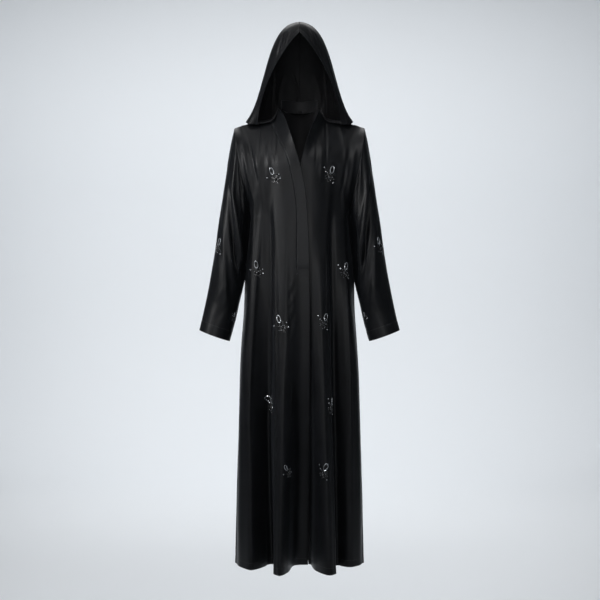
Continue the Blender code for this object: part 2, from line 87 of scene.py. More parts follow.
SIDE_WIDTHS = (
    (HEM_Z, 0.2012),
    (-1.100, 0.1940),
    (HIP_Z, 0.1820),
    (-0.550, 0.1706),
    (-0.520, 0.1698),
    (-0.480, 0.1675),
    (-0.440, 0.1629),
    (-0.375, 0.1547),
    (CHEST_Z, 0.1500),
)
RIGHT_FRONT_FOLDS = (
    # name, then out and forward at the bust, chest, hip and hem
    ("side ridge", (0.140, 0.090), (0.140, 0.078), (0.156, 0.090), (0.148, 0.099)),
    ("side trough", (0.106, 0.098), (0.094, 0.092), (0.0965, 0.066), (0.083, 0.022)),
    ("ridge outer edge", (0.085, 0.104), (0.073, 0.106), (0.0705, 0.116), (0.0745, 0.145)),
    ("front ridge", (0.065, 0.110), (0.049, 0.115), (0.050, 0.132), (0.058, 0.170)),
    ("ridge inner edge", (0.044, 0.114), (0.024, 0.119), (0.026, 0.124), (0.036, 0.130)),
    ("centre trough", (0.023, 0.117), (-0.002, 0.120), (0.000, 0.109), (0.013, 0.036)),
)
LEFT_FRONT_FOLDS = (
    ("side ridge", (0.138, 0.089), (0.138, 0.075), (0.158, 0.080), (0.160, 0.060)),
    ("side trough", (0.106, 0.097), (0.0985, 0.091), (0.105, 0.070), (0.117, 0.042)),
    ("ridge outer edge", (0.085, 0.103), (0.083, 0.101), (0.0900, 0.116), (0.1125, 0.134)),
    ("front ridge", (0.065, 0.109), (0.062, 0.109), (0.070, 0.131), (0.090, 0.163)),
    ("ridge inner edge", (0.044, 0.1115), (0.040, 0.113), (0.045, 0.114), (0.050, 0.108)),
)
RIGHT_FRONT_EDGE = (
    # height, out from the middle, forward
    (HEM_Z, -0.0258, 0.028),
    (-1.100, -0.0297, 0.066),
    (HIP_Z, -0.0300, 0.106),
    (-0.550, -0.0300, 0.118),
    (CHEST_Z, -0.0235, 0.120),
    (-0.250, -0.0166, 0.120),
    (-0.179, -0.0027, 0.119),
    (-0.132, 0.0106, 0.107),
    (-0.088, 0.0228, 0.091),
    (-0.045, 0.0364, 0.068),
    (-0.010, 0.0500, 0.040),
    (NECK_SIDE[2], NECK_SIDE[0], NECK_SIDE[1]),
)
LEFT_FRONT_EDGE = (
    (HEM_Z, 0.0285, 0.021),
    (-1.340, 0.0240, 0.029),
    (-1.100, 0.0120, 0.062),
    (HIP_Z, -0.0050, 0.101),
    (-0.550, -0.0100, 0.111),
    (CHEST_Z, -0.0120, 0.113),
    (-0.250, -0.0100, 0.113),
    (-0.179, 0.0020, 0.1120),
    (-0.129, 0.0136, 0.103),
    (-0.075, 0.0289, 0.083),
    (-0.043, 0.0405, 0.061),
    (-0.012, 0.0540, 0.034),
    (NECK_SIDE[2], NECK_SIDE[0], NECK_SIDE[1]),
)
RIGHT_BACK_FOLDS = (
    ("side ridge", (0.148, -0.101), (0.123, -0.078), (0.153, -0.086), (0.166, -0.088)),
    ("side trough", (0.117, -0.110), (0.097, -0.093), (0.118, -0.086), (0.128, -0.050)),
    ("back ridge", (0.085, -0.117), (0.071, -0.108), (0.088, -0.121), (0.096, -0.142)),
    ("back trough", (0.055, -0.117), (0.046, -0.110), (0.055, -0.106), (0.055, -0.082)),
    ("middle slope", (0.028, -0.119), (0.023, -0.116), (0.028, -0.121), (0.029, -0.112)),
)
CENTRE_BACK = (
    "centre back", (0.000, -0.120), (0.000, -0.118), (0.000, -0.136), (0.003, -0.156),
)
LEFT_BACK_FOLDS = (
    ("side ridge", (0.148, -0.101), (0.124, -0.079), (0.155, -0.082), (0.162, -0.076)),
    ("side trough", (0.117, -0.110), (0.096, -0.095), (0.120, -0.082), (0.134, -0.040)),
    ("back ridge", (0.085, -0.117), (0.069, -0.109), (0.083, -0.124), (0.086, -0.150)),
    ("back trough", (0.055, -0.117), (0.045, -0.112), (0.050, -0.108), (0.046, -0.088)),
    ("middle slope", (0.028, -0.119), (0.022, -0.117), (0.026, -0.124), (0.024, -0.121)),
)
NECK_BACK = (0.066, 0.005)
NECK_BACK_SLOPE = (0.044, -0.042)

ARMHOLE_FRONT = 0.077
ARMHOLE_BACK = 0.084
ARMHOLE_CURVE = 1.2  # how the body widens from the underarm up to the shoulder's tip
CUFF_CENTRE = (0.262, 0.034, -0.692)
CUFF_HALF_WIDTH = 0.0500
CUFF_HALF_DEPTH = 0.0560
CUFF_TILT = math.radians(20.0)
SLEEVE_SPREAD = 0.020
SLEEVE_FULLNESS = 0.085
SLEEVE_ARRIVAL = (0.050, 0.020, 0.0)  # how it straightens towards the cuff
SLEEVE_FOLDS = (
    # turn where it starts and ends, height, half width, from, to
    (132.0, 22.0, 0.0075, 17.0, 0.06, 0.52),
    (165.0, 22.0, -0.0080, 18.0, 0.16, 0.62),
    (34.0, 26.0, -0.0070, 17.0, 0.02, 0.50),
    (176.0, 50.0, 0.0060, 24.0, 0.32, 0.98),
    (0.0, 0.0, 0.0030, 20.0, 0.34, 0.72),
    (360.0, 360.0, 0.0030, 20.0, 0.34, 0.72),
    (208.0, 236.0, -0.0070, 22.0, 0.05, 0.70),
    (240.0, 285.0, 0.0080, 22.0, 0.08, 0.85),
    (318.0, 296.0, -0.0060, 22.0, 0.12, 0.72),
)
SLEEVE_RADIUS = 0.056
SLEEVE_LENGTH = 0.66

HOOD_HOOPS = (
    # place, then out, forward and up of its start, lower handle, upper handle and end
    (0.00, (0.130, 0.022, -0.041), (0.122, 0.066, 0.066), (0.054, 0.108, 0.175), (0.000, 0.106, 0.229)),
    (0.14, (0.158, 0.018, -0.039), (0.106, 0.036, 0.072), (0.098, 0.074, 0.240), (0.000, 0.076, 0.263)),
    (0.32, (0.170, -0.010, -0.028), (0.086, 0.000, 0.080), (0.109, 0.020, 0.279), (0.000, 0.022, 0.273)),
    (0.56, (0.150, -0.064, -0.032), (0.095, -0.072, 0.070), (0.102, -0.066, 0.240), (0.000, -0.074, 0.243)),
    (0.80, (0.088, -0.106, -0.044), (0.084, -0.122, 0.028), (0.062, -0.136, 0.128), (0.000, -0.140, 0.142)),
    (1.00, (0.000, -0.112, -0.050), (0.000, -0.121, -0.022), (0.000, -0.128, 0.008), (0.000, -0.133, 0.036)),
)
HOOD_NECK = (0.0665, 0.0745)
HOOD_NECK_Z = 0.0165
HOOD_NECK_FORWARD = 0.006
HOOD_NECK_FALL = 0.004  # how much lower the hood's neck seam is at the centre back
HOOD_NECK_START = math.radians(-6.0)
HOOD_FOLD_ROUND = 0.0045
HOOD_FOLD_BLUNT = 0.2  # how far the fold's corner is drawn in, as a share
HOOD_FOLD_CLEAR = 1.15  # how many of its rounds away from the fold the rise starts
HOOD_DROOP = (-0.004, 0.004, -0.024)  # how it falls between the neck and the shoulder
HOOD_DROOP_ENDS = (0.20, 0.70)  # where along the hood the droop starts to die out, and ends
HOOD_UNDER_POINTS = 17  # from the neck seam to where the hood turns up
HOOD_TURN_POINTS = 9
HOOD_DEPTH = 0.36  # from the face opening round to the centre back, to measure creases by
HOOD_HEIGHT = 0.38  # from the shoulder to the crown

BAND_END_Z = -0.515
BAND_WIDTH_SHARE = 3 / 14
NECK_BAND = (0.0570, 0.0665)
NECK_BAND_Z = 0.0125
NECK_BAND_HEIGHT = 0.037
NECK_BAND_DROP = 0.014
NECK_BAND_SAG = 0.0045
NECK_BAND_REACH = math.radians(8.0)
NECK_BAND_COLUMNS = 96
LOOP_WIDTH = 0.014
LOOP_HEIGHT = 0.005
LOOP_RISE = 0.003

# ---------------------------------------------------------------- creases

# In millimetres. Ridges, and troughs with a height below 0, each from a start to an end, with
# the bow of its middle to the side. On the body a place is how far out from the middle and how
# far up it is.
RIGHT_FRONT_CREASES = (
    # start, end, bow, half width, height
    ((122.7, -30), (125.8, -180), 0, 3, -3.4),
    ((74.3, -40), (74.3, -180), 0, 3, -2.6),
    ((178, -80), (128, -320), 4, 7, 5),
    ((162, -70), (118, -260), 2, 6, -4),
    ((98, -80), (96, -230), -2, 6, 2.2),
    ((168, -500), (184, -1600), 2, 12, 12),
    ((130, -100), (113, -320), 0, 13, 4.5),
    ((104.9, -215), (157, -1150), 12, 7, 3.6),
    ((123.1, -180), (160, -620), 4, 8, 3),
    ((144, -270), (178, -640), 0, 7, 5),
    ((94, -230), (85, -700), -3, 9, -6),
    ((90, -560), (96, -1000), -4, 9, -7),
    ((97.5, -820), (90, -1700), 0, 10, -7),
    ((77, -400), (69, -860), 0, 3.5, 3.4),
    ((70, -740), (75.5, -1700), 0, 3.5, 3.4),
    ((100, -120), (84, -360), 6, 10, 2),
    ((40, -300), (30, -900), 4, 9, 1.4),
    ((165, -560), (172, -1100), 3, 6, -1.8),
    ((118, -900), (122, -1600), 2, 8, 1.6),
    ((55, -960), (50, -1600), 2, 8, -2),
    # short puckers below the band's end
    ((34, -545), (13, -528), 0, 5, 1.6),
    ((35, -576), (11, -552), 0, 5, -1.4),
    ((35, -602), (12, -572), 0, 5, 1.8),
    ((33, -635), (12, -598), 0, 5.5, 1.6),
    ((32, -665), (13, -628), 0, 6, -1.2),
    ((30, -710), (13, -670), 0, 6, 1.4),
)
LEFT_FRONT_CREASES = (
    ((82, 0), (82, -180), 0, 3, -3.6),
    ((117, -20), (140, -230), 14, 8, 3.4),
    ((172, -90), (140, -300), 4, 7, 4),
    ((154, -100), (122, -280), 2, 6, -4),
    ((66, -80), (64, -230), 2, 6, 1.8),
    ((172, -520), (186, -1600), 2, 11, 8),
    ((83.1, -420), (83.1, -680), 0, 3, 2.6),
    ((95.8, -270), (98, -660), 0, 9, -6),
    ((100, -560), (110, -1050), 0, 9, -7),
    ((108, -860), (123, -1700), 0, 10, -7),
    ((89, -700), (99, -1060), 0, 3.5, 3.4),
    ((98, -940), (116, -1700), 0, 3.5, 3.4),
    ((130.7, -300), (160, -1100), 8, 5.5, 2.4),
    ((124, -180), (156, -560), 4, 8, 2.6),
    ((144, -270), (178, -640), 0, 7, 5),
    ((56, -60), (48, -190), 0, 4, -1.2),
    ((101, -120), (90, -400), -4, 10, 2.2),
    ((33, -420), (30, -980), 2, 9, 1.2),
    ((160, -700), (174, -1300), 3, 7, -1.8),
    ((138, -950), (145, -1600), 2, 8, 1.8),
)
BACK_CREASES = (
    # across to the wearer's left, up
    ((-100, -60), (-112, -330), 4, 10, 3),
    ((-60, -120), (-70, -520), 4, 8, 2.6),
    ((30, -80), (34, -420), -3, 9, -2.2),
    ((75, -70), (90, -420), 6, 8.5, 3),
    ((125, -110), (118, -500), -4, 7, 2.4),
    ((-118, -480), (-140, -1250), 4, 6, 3.4),
    ((-74, -500), (-79, -1600), -3, 5, 2.6),
    ((-20, -420), (-14, -1160), 3, 7, 2.4),
    ((14, -560), (20, -1600), 4, 6, -2),
    ((69, -450), (67, -1380), 4, 6, 3.2),
    ((104, -620), (112, -1600), -3, 6, 2.6),
    ((140, -520), (158, -1080), 5, 7, 3),
    ((-160, -700), (-172, -1600), 3, 7, -2.2),
)
# On a sleeve: how far round from the underarm seam, towards the front, and how far down
RIGHT_SLEEVE_CREASES = (
    ((120, -20), (100, 170), 2, 8.5, 6),
    ((104, 110), (36, 310), 3, 8.5, 12),
)
LEFT_SLEEVE_CREASES = (
    ((112, -20), (92, 150), 2, 12, -5),
    ((110, 110), (42, 310), 3, 11, 5),
)
SLEEVE_CREASES = (
    ((136, 120), (44, 360), 0, 9.5, -15),
    ((100, -20), (50, 100), 0, 7, -10),
    ((46, 20), (22, 380), 0, 13, -13),
    ((92, 12), (40, 20), 0, 5, 3),
    ((138, 220), (58, 580), 4, 13, 6),
    ((0, -100), (0, 420), 0, 10, 2.6),
    ((352, -100), (352, 420), 0, 10, 2.6),
    ((74, 420), (120, 560), 4, 8, 1.4),
    ((60, 480), (100, 620), 4, 8, -1.4),
    ((160, 0), (158, 160), -4, 7, 2),
    ((230, 60), (250, 400), 4, 7, 3.4),
    ((268, 120), (262, 460), 4, 6.5, -3.4),
    ((200, 260), (214, 600), 3, 8, 2.4),
    ((300, 100), (290, 340), 2, 6, 3.4),
)
# On the hood: how far back from the face opening, and how far up from the shoulder
HOOD_CREASES = (
    ((200, 270), (288, 30), 28, 2.6, -15),
    ((300, 150), (262, 320), 4, 10, 3),
    ((240, 60), (220, 240), 4, 9, 3),
    ((190, 20), (170, 280), 6, 11, 3.4),
    ((120, 30), (130, 220), -4, 10, 2.6),
    ((60, 20), (50, 180), 4, 8, -2.2),
    ((10, 250), (50, 330), 0, 5, -3),
    ((4, 300), (40, 350), 0, 5, 2.6),
)
# A few on one half only
HOOD_RIGHT_CREASES = (
    ((270, 340), (334, 374), 0, 4, -7),
    ((330, 374), (342, 300), 0, 4, -3),
    ((352, 150), (338, 250), 0, 4, -5),
)
HOOD_LEFT_CREASES = (
    ((330, 160), (312, 300), 4, 9, 3),
    ((30, 120), (44, 260), 3, 6, 1.6),
)


# ---------------------------------------------------------------- smooth forms


def through(knots, values, at, steady=False):
    """Values at these places on a smooth line through the knots. A steady line never swings
    past a knot's own value."""
    knots = np.asarray(knots, float)
    values = np.asarray(values, float)
    steps = np.diff(knots)
    slopes = np.diff(values, axis=0) / steps.reshape([-1] + [1] * (values.ndim - 1))
    tangents = np.empty_like(values)
    tangents[0] = slopes[0]
    tangents[-1] = slopes[-1]
    before, after = steps[:-1], steps[1:]
    share = (after / (before + after)).reshape([-1] + [1] * (values.ndim - 1))
    tangents[1:-1] = slopes[:-1] * share + slopes[1:] * (1 - share)
    if steady:
        least = np.minimum(abs(slopes[:-1]), abs(slopes[1:]))
        same_way = slopes[:-1] * slopes[1:] > 0
        limit = np.where(same_way, 3 * least, 0)
        tangents[1:-1] = np.clip(tangents[1:-1], -limit, limit)
    at = np.clip(np.asarray(at, float), knots[0], knots[-1])
    span = np.clip(np.searchsorted(knots, at, side="right") - 1, 0, len(steps) - 1)
    width = steps[span]
    t = (at - knots[span]) / width
    if values.ndim > 1:
        t, width = np.expand_dims(t, -1), np.expand_dims(width, -1)
    leave, arrive = width * tangents[span], width * tangents[span + 1]
    return swept(t, values[span], leave, values[span + 1], arrive)


def swept(t, start, leave, end, arrive):
    """Along a curve that leaves its start one way and arrives at its end another."""
    return (
        (2 * t**3 - 3 * t**2 + 1) * start
        + (t**3 - 2 * t**2 + t) * leave
        + (3 * t**2 - 2 * t**3) * end
        + (t**3 - t**2) * arrive
    )


def row_through(lines, places):
    """A row of points through its lines, where whole places fall on the lines themselves."""
    lines = np.asarray(lines, float)
    chords = np.linalg.norm(np.diff(lines, axis=0), axis=1)
    knots = np.concatenate([[0], np.cumsum(np.sqrt(chords))])
    return through(knots, lines, np.interp(places, np.arange(len(lines)), knots))


def unit(vectors):
    return vectors / np.maximum(np.linalg.norm(vectors, axis=-1, keepdims=True), 1e-12)


def mix(a, b, share):
    return a + (b - a) * share


def smooth_step(t):
    t = np.clip(t, 0, 1)
    return t * t * (3 - 2 * t)


def rise_of(key):
    """How far up a row is between the underarm, at 0, and the shoulder seam, at 1."""
    return max(0.0, (key - CHEST_Z) / (SHOULDER_TIP[2] - CHEST_Z))


def armhole_height(turn):
    return mix(CHEST_Z, SHOULDER_TIP[2], (1 - math.cos(turn)) / 2)


def armhole_point(turn, swing):
    z = armhole_height(turn)
    rise = rise_of(z)
    out = SHOULDER_TIP[0] - (SHOULDER_TIP[0] - SIDE_WIDTHS[-1][1]) * (1 - rise) ** ARMHOLE_CURVE
    return (out, swing * math.sin(turn) + SHOULDER_TIP[1] * rise, z)


def inner_height(key):
    """Height of a row at the neck or opening, from its height at the side."""
    return key if key <= CHEST_Z else mix(CHEST_Z, NECK_SIDE[2], rise_of(key))


def side_point(key, turn, swing):
    if key <= CHEST_Z:
        heights, widths = zip(*sorted(SIDE_WIDTHS))
        return (float(through(heights, widths, key)), 0.0, key)
    return armhole_point(turn, swing)


def shoulder_dip(share):
    """How far the shoulder seam sinks, from its tip, at 0, to the side of the neck, at 1."""
    first, last = SHOULDER_DIP_CURVE
    deepest = first / (first + last)
    greatest = deepest**first * (1 - deepest) ** last
    return SHOULDER_DIP * share**first * (1 - share) ** last / greatest


def shoulder_seam(places):
    seam = mix(np.array(SHOULDER_TIP), np.array(NECK_SIDE), places[:, None])
    seam[:, 2] -= shoulder_dip(places)
    return seam


def fold_point(fold, key, share):
    """Where a fold line crosses a row: share is 0 at the side and 1 at the neck side."""
    at_shoulder = [mix(a, b, share) for a, b in zip(SHOULDER_TIP[:2], NECK_SIDE[:2])]
    places = [*reversed(fold[1:]), at_shoulder]
    out, forward = through(LEVELS, places, key, steady=True)
    dip = shoulder_dip(share) * rise_of(key) ** 2
    return (out, forward, mix(key, inner_height(key), share) - dip)


def row_keys():
    """The rows from the hem up: height at the side, and turn round the armhole."""
    heights = mix(HEM_Z, CHEST_Z, close_at_ends(SKIRT_ROWS, SKIRT_END_ROWS))
    turns = np.linspace(0, math.pi, ARMHOLE_ROWS + 1)
    return [(z, 0.0) for z in heights[:-1]] + [(armhole_height(turn), turn) for turn in turns]


def close_at_ends(count, extra):
    """Even places from 0 to 1, with a few more close to both ends."""
    extra = np.asarray(extra, float)
    return np.unique(np.concatenate([np.linspace(0, 1, count + 1), extra, 1 - extra]))


def edge_point(edge, height):
    z, out, forward = zip(*edge)
    return (float(through(z, out, height)), float(through(z, forward, height)), height)


def under_lap():
    """The fold line of the left front where it comes out from behind the right front's edge."""
    places = [UNDER_LAP_AT_BUST]
    for z in (CHEST_Z, HIP_Z, HEM_Z):
        out, forward, _ = edge_point(RIGHT_FRONT_EDGE, z)
        clear_of_edge = edge_point(LEFT_FRONT_EDGE, z)[0] + LAP_STEP
        places.append((max(LAP_STEP - out, clear_of_edge), forward - LAP))
    return ("under the lap", *places)


def front_row(folds, edge, key, turn, places):
    if rise_of(key) >= 1:
        return shoulder_seam(places)
    last = len(folds) + 1
    lines = [side_point(key, turn, ARMHOLE_FRONT)]
    lines += [fold_point(fold, key, (n + 1) / last) for n, fold in enumerate(folds)]
    lines.append(edge_point(edge, inner_height(key)))
    return row_through(lines, places * last)


def back_row(key, turn, side_places, neck_places):
    rise = rise_of(key)
    sides = []
    for folds, side in ((RIGHT_BACK_FOLDS, RIGHT), (LEFT_BACK_FOLDS, LEFT)):
        lines = [side_point(key, turn, -ARMHOLE_BACK)]
        lines += [fold_point(fold, key, (n + 1) / 4) for n, fold in enumerate(folds[:4])]
        slope = through(LEVELS, [*reversed(folds[4][1:]), NECK_BACK_SLOPE], key, steady=True)
        lines.append((slope[0], slope[1], mix(inner_height(key), NECK_BACK[1], rise**4 / 2)))
        sides.append(np.array(lines) * (side, 1, 1))
    middle = through(LEVELS, [*reversed(CENTRE_BACK[1:]), (0, -NECK_BACK[0])], key, steady=True)
    centre = [(middle[0], middle[1], mix(inner_height(key), NECK_BACK[1], rise**4))]
    lines = np.concatenate([sides[0], centre, sides[1][::-1]])
    neck_line, last = 4, len(lines) - 1
    row = row_through(lines, np.concatenate([
        side_places * neck_line,
        mix(neck_line, last - neck_line, neck_places[1:-1]),
        last - side_places[::-1] * neck_line,
    ]))
    if rise >= 1:
        seam = shoulder_seam(side_places)
        row[: len(seam)] = seam * (RIGHT, 1, 1)
        row[-len(seam) :] = seam[::-1] * (LEFT, 1, 1)
    return row


def placed(points, side=1):
    """From out, forward, up to the frame's x, y, z."""
    return np.asarray(points, float) * (side, -1, 1)


def front_grid(folds, edge, side, places):
    rows = [front_row(folds, edge, key, turn, places) for key, turn in row_keys()]
    return placed(rows, side)


def back_grid(side_places):
    neck_places = np.linspace(0, 1, BACK_NECK_COLUMNS + 1)
    rows = [back_row(key, turn, side_places, neck_places) for key, turn in row_keys()]
    return placed(rows)


def sleeve_grid(side):
    """Rings from the armhole to the cuff, starting and ending at the underarm seam."""
    rising = np.linspace(0, math.pi, ARMHOLE_ROWS + 1)
    turns = np.concatenate([rising, 2 * math.pi - rising[-2::-1]])
    s = close_at_ends(SLEEVE_ROWS, SLEEVE_END_ROWS)[:, None]
    grid = np.empty((len(s), len(turns), 3))
    for column, turn in enumerate(turns):
        swing = ARMHOLE_FRONT if turn <= math.pi else ARMHOLE_BACK
        start = np.array(armhole_point(min(turn, 2 * math.pi - turn), swing))
        if turn > math.pi:
            start[1] = armhole_point(2 * math.pi - turn, -ARMHOLE_BACK)[1]
        across, forward = -math.cos(turn), math.sin(turn)
        end = np.array(CUFF_CENTRE) + (
            across * CUFF_HALF_WIDTH * math.cos(CUFF_TILT),
            forward * CUFF_HALF_DEPTH,
            across * CUFF_HALF_WIDTH * math.sin(CUFF_TILT),
        )
        leave = end - start + (SLEEVE_SPREAD * across, SLEEVE_FULLNESS * forward, 0)
        arrive = end - start + SLEEVE_ARRIVAL
        path = swept(s, start, leave, end, arrive)
        out_from_axis = np.array([across, forward, 0.0])
        for at_first, at_final, height, half, first, final in SLEEVE_FOLDS:
            along = np.clip((s - first) / (final - first), 0, 1)
            away = (math.degrees(turn) - mix(at_first, at_final, along)) / half
            path += height * np.exp(-away * away) * np.sin(math.pi * along) ** 2 * out_from_axis
        grid[:, column] = placed(path, side)
    grid[:, -1] = grid[:, 0]
    flat = np.stack(np.meshgrid(turns * SLEEVE_RADIUS, s[:, 0] * SLEEVE_LENGTH), -1)
    return grid, flat


def droop_share(t):
    """How much of the droop there is between the neck seam, at 0, and the shoulder, at 1. It
    is all there, 1, a third of the way out."""
    return 27 / 4 * t * (1 - t) ** 2


def hood_grid(side):
    """Hoops from the face opening to the centre back, each from the neck seam to the crown."""
    places = [hoop[0] for hoop in HOOD_HOOPS]
    handles = np.array([hoop[1:] for hoop in HOOD_HOOPS], float).reshape(len(places), -1)
    grid, flat = [], []
    under_places = np.linspace(0, 1, HOOD_UNDER_POINTS)[:-1, None]
    turn_places = np.linspace(0, 1, HOOD_TURN_POINTS)[:, None]
    rise_places = close_at_ends(HOOD_ROWS, HOOD_END_ROWS)
    for place in close_at_ends(HOOD_COLUMNS, HOOD_END_COLUMNS):
        start, lower, upper, end = through(places, handles, place).reshape(4, 3)
        angle = mix(HOOD_NECK_START, math.pi / 2, place)
        seam = np.array([
            HOOD_NECK[0] * math.cos(angle),
            HOOD_NECK_FORWARD - HOOD_NECK[1] * math.sin(angle),
            HOOD_NECK_Z - HOOD_NECK_FALL * place,
        ])
        t = rise_places[:, None]
        rise = (
            (1 - t) ** 3 * start
            + 3 * (1 - t) ** 2 * t * lower
            + 3 * (1 - t) * t**2 * upper
            + t**3 * end
        )
        turn_in = start + HOOD_FOLD_ROUND * unit(seam - start)
        turn_up = start + HOOD_FOLD_ROUND * unit(lower - start)
        first, last = HOOD_DROOP_ENDS
        droop = np.array(HOOD_DROOP) * (1 - smooth_step((place - first) / (last - first)))
        under = mix(seam, turn_in, under_places) + droop * droop_share(under_places)
        corner = mix(start, (turn_in + turn_up) / 2, HOOD_FOLD_BLUNT)
        rounded = (
            (1 - turn_places) ** 2 * turn_in
            + 2 * (1 - turn_places) * turn_places * corner
            + turn_places**2 * turn_up
        )
        past_turn = np.linalg.norm(rise - start, axis=1) > HOOD_FOLD_ROUND * HOOD_FOLD_CLEAR
        grid.append(np.concatenate([under, rounded, spread(rise[past_turn], len(rise))]))
        flat.append(place)
    grid = np.array(grid)
    grid[-1, :, 0] = 0.0
    heights = lengths_along(grid.mean(0))
    shoulder = heights[HOOD_UNDER_POINTS + HOOD_TURN_POINTS - 2]
    heights = (heights - shoulder) / (heights[-1] - shoulder) * HOOD_HEIGHT
    flat = np.stack(np.meshgrid(heights, np.array(flat) * HOOD_DEPTH)[::-1], -1)
    return placed(grid, side), flat


def lengths_along(line):
    """Distance of each point of a line from its start."""
    steps = np.linalg.norm(np.diff(line, axis=0), axis=1)
    return np.concatenate([[0.0], np.cumsum(steps)])


def spread(points, count):
    """This many points, evenly along a line."""
    lengths = lengths_along(points)
    wanted = np.linspace(0, lengths[-1], count)
    return np.stack([np.interp(wanted, lengths, points[:, axis]) for axis in range(3)], -1)


def neck_band_grid():
    angles = np.linspace(-NECK_BAND_REACH, math.pi + NECK_BAND_REACH, NECK_BAND_COLUMNS + 1)
    towards_back = np.sin(np.clip(angles, 0, math.pi))
    foot = NECK_BAND_Z - NECK_BAND_SAG * towards_back**2
    top = NECK_BAND_HEIGHT - NECK_BAND_DROP * (1 - towards_back) ** 2
    out = -NECK_BAND[0] * np.cos(angles)
    back = NECK_BAND[1] * np.sin(angles) - HOOD_NECK_FORWARD
    shares = close_at_ends(NECK_BAND_ROWS, NECK_BAND_END_ROWS)
    return np.array([np.stack([out, back, foot + share * top], -1) for share in shares])


# ---------------------------------------------------------------- creases, seams and walls


def crease_height(flat, creases):
    """How far the cloth stands out at each point, from its creases. Beside a ridge the cloth
    dips a little, as it does when it is drawn up into one."""
    total = np.zeros(flat.shape[:-1])
    for start, end, *sizes in creases:
        start, run = MM * np.array(start), MM * np.subtract(end, start)
        bow, half, height = MM * np.array(sizes)
        length = np.linalg.norm(run)
        along = (flat - start) @ run / length**2
        inside = np.clip(along, 0, 1)
        side = np.array([-run[1], run[0]]) / length
        away = ((flat - start) @ side - bow * 4 * inside * (1 - inside)) / half
        ends = smooth_step(along / CREASE_TAPER) * smooth_step((1 - along) / CREASE_TAPER)
        dip = CREASE_DIP * np.exp(-((away / CREASE_DIP_WIDTH) ** 2))
        total += height * ends * (np.exp(-(away**2)) - dip)
    return total


def surface_directions(grid, closed):
    if closed:
        across = np.roll(grid[:, :-1], -1, axis=1) - np.roll(grid[:, :-1], 1, axis=1)
        across = np.concatenate([across, across[:, :1]], axis=1)
    else:
        across = np.gradient(grid, axis=1)
    return unit(np.cross(across, np.gradient(grid, axis=0)))


def reach_from_edges(grid):
    """Distance along the cloth from each of its four edges: first and last row, first and
    last column."""
    down = np.linalg.norm(np.diff(grid, axis=0), axis=-1)
    over = np.linalg.norm(np.diff(grid, axis=1), axis=-1)
    from_first_row = np.concatenate([np.zeros((1, grid.shape[1])), np.cumsum(down, axis=0)])
    from_first_column = np.concatenate([np.zeros((len(grid), 1)), np.cumsum(over, axis=1)], 1)
    return (
        from_first_row,
        from_first_row[-1] - from_first_row,
        from_first_column,
        from_first_column[:, -1:] - from_first_column,
    )


EDGE_PLACES = (np.s_[0, :], np.s_[-1, :], np.s_[:, 0], np.s_[:, -1])


def meeting_place(point):
    """A point to the nearest hundredth of a millimetre, to find what else meets there."""
    return tuple(np.round(point, 5) + 0.0)


def agreed_directions(grids):
    """Surface directions that pieces share where they meet, so a seam has no step in it. A
    sleeve and the side of the body face each other at the underarm and keep their own."""
    own = {
        name: surface_directions(grid, closed) * flip
        for name, (grid, closed, flip) in grids.items()
    }
    edges = [(grid, name, edge) for name, (grid, _, _) in grids.items() for edge in EDGE_PLACES]
    meeting = {}
    for grid, name, edge in edges:
        for point, direction in zip(grid[edge], own[name][edge]):
            meeting.setdefault(meeting_place(point), []).append(direction)
    for grid, name, edge in edges:
        own[name][edge] = unit(np.array([
            sum(other for other in meeting[meeting_place(point)] if other @ direction > 0)
            for point, direction in zip(grid[edge], own[name][edge])
        ]))
    return own


SEAM_SINK = 0.0005  # how far the cloth dips at a seam, and over what width
SEAM_WIDTH = 0.0022
STITCH_SINK = 0.00045
STITCH_WIDTH = 0.0016
RIPPLE = 0.0006  # how uneven the cloth is between its creases
RIPPLE_SIZE = (0.034, 0.034, 0.11)
CREASE_FADE = 0.011  # creases die out this close to a seam
CREASE_TAPER = 0.3  # share of its length over which a crease dies out at each end
CREASE_DIP = 0.35  # the dip beside a ridge, as a share of its height
CREASE_DIP_WIDTH = 2.4  # and its reach, in half widths of the crease
HEM_STEP = 0.0003  # how far a turned hem stands out
HEM_STEP_WIDTH = 0.003
RIM_ROUND = 0.55  # how far a free edge bulges, as a share of the wall


def ripple(points):
    places = points.reshape(-1, 3) / np.array(RIPPLE_SIZE)
    values = [noise.noise(Vector(place)) for place in places]
    return RIPPLE * np.array(values).reshape(points.shape[:-1])


def worked(grid, directions, flat, creases, seams, hem):
    """The grid with its creases, its uneven surface, and a groove along each seam and along
    the topstitching. Seams are edge numbers, a hem is an edge number and a distance."""
    reach = reach_from_edges(grid)
    lift = crease_height(flat, creases)
    for edge in seams:
        lift *= smooth_step(reach[edge] / CREASE_FADE)
    lift += ripple(grid)
    for edge in seams:
        lift -= SEAM_SINK * np.exp(-((reach[edge] / SEAM_WIDTH) ** 2))
    if hem:
        edge, inset = hem
        lift -= STITCH_SINK * np.exp(-(((reach[edge] - inset) / STITCH_WIDTH) ** 2))
        lift += HEM_STEP * smooth_step((inset - reach[edge]) / HEM_STEP_WIDTH + 0.5)
    return grid + lift[..., None] * directions


def smooth_mesh(name, points, faces):
    mesh = bpy.data.meshes.new(name)
    mesh.from_pydata([tuple(point) for point in points], [], faces)
    mesh.shade_smooth()
    return mesh


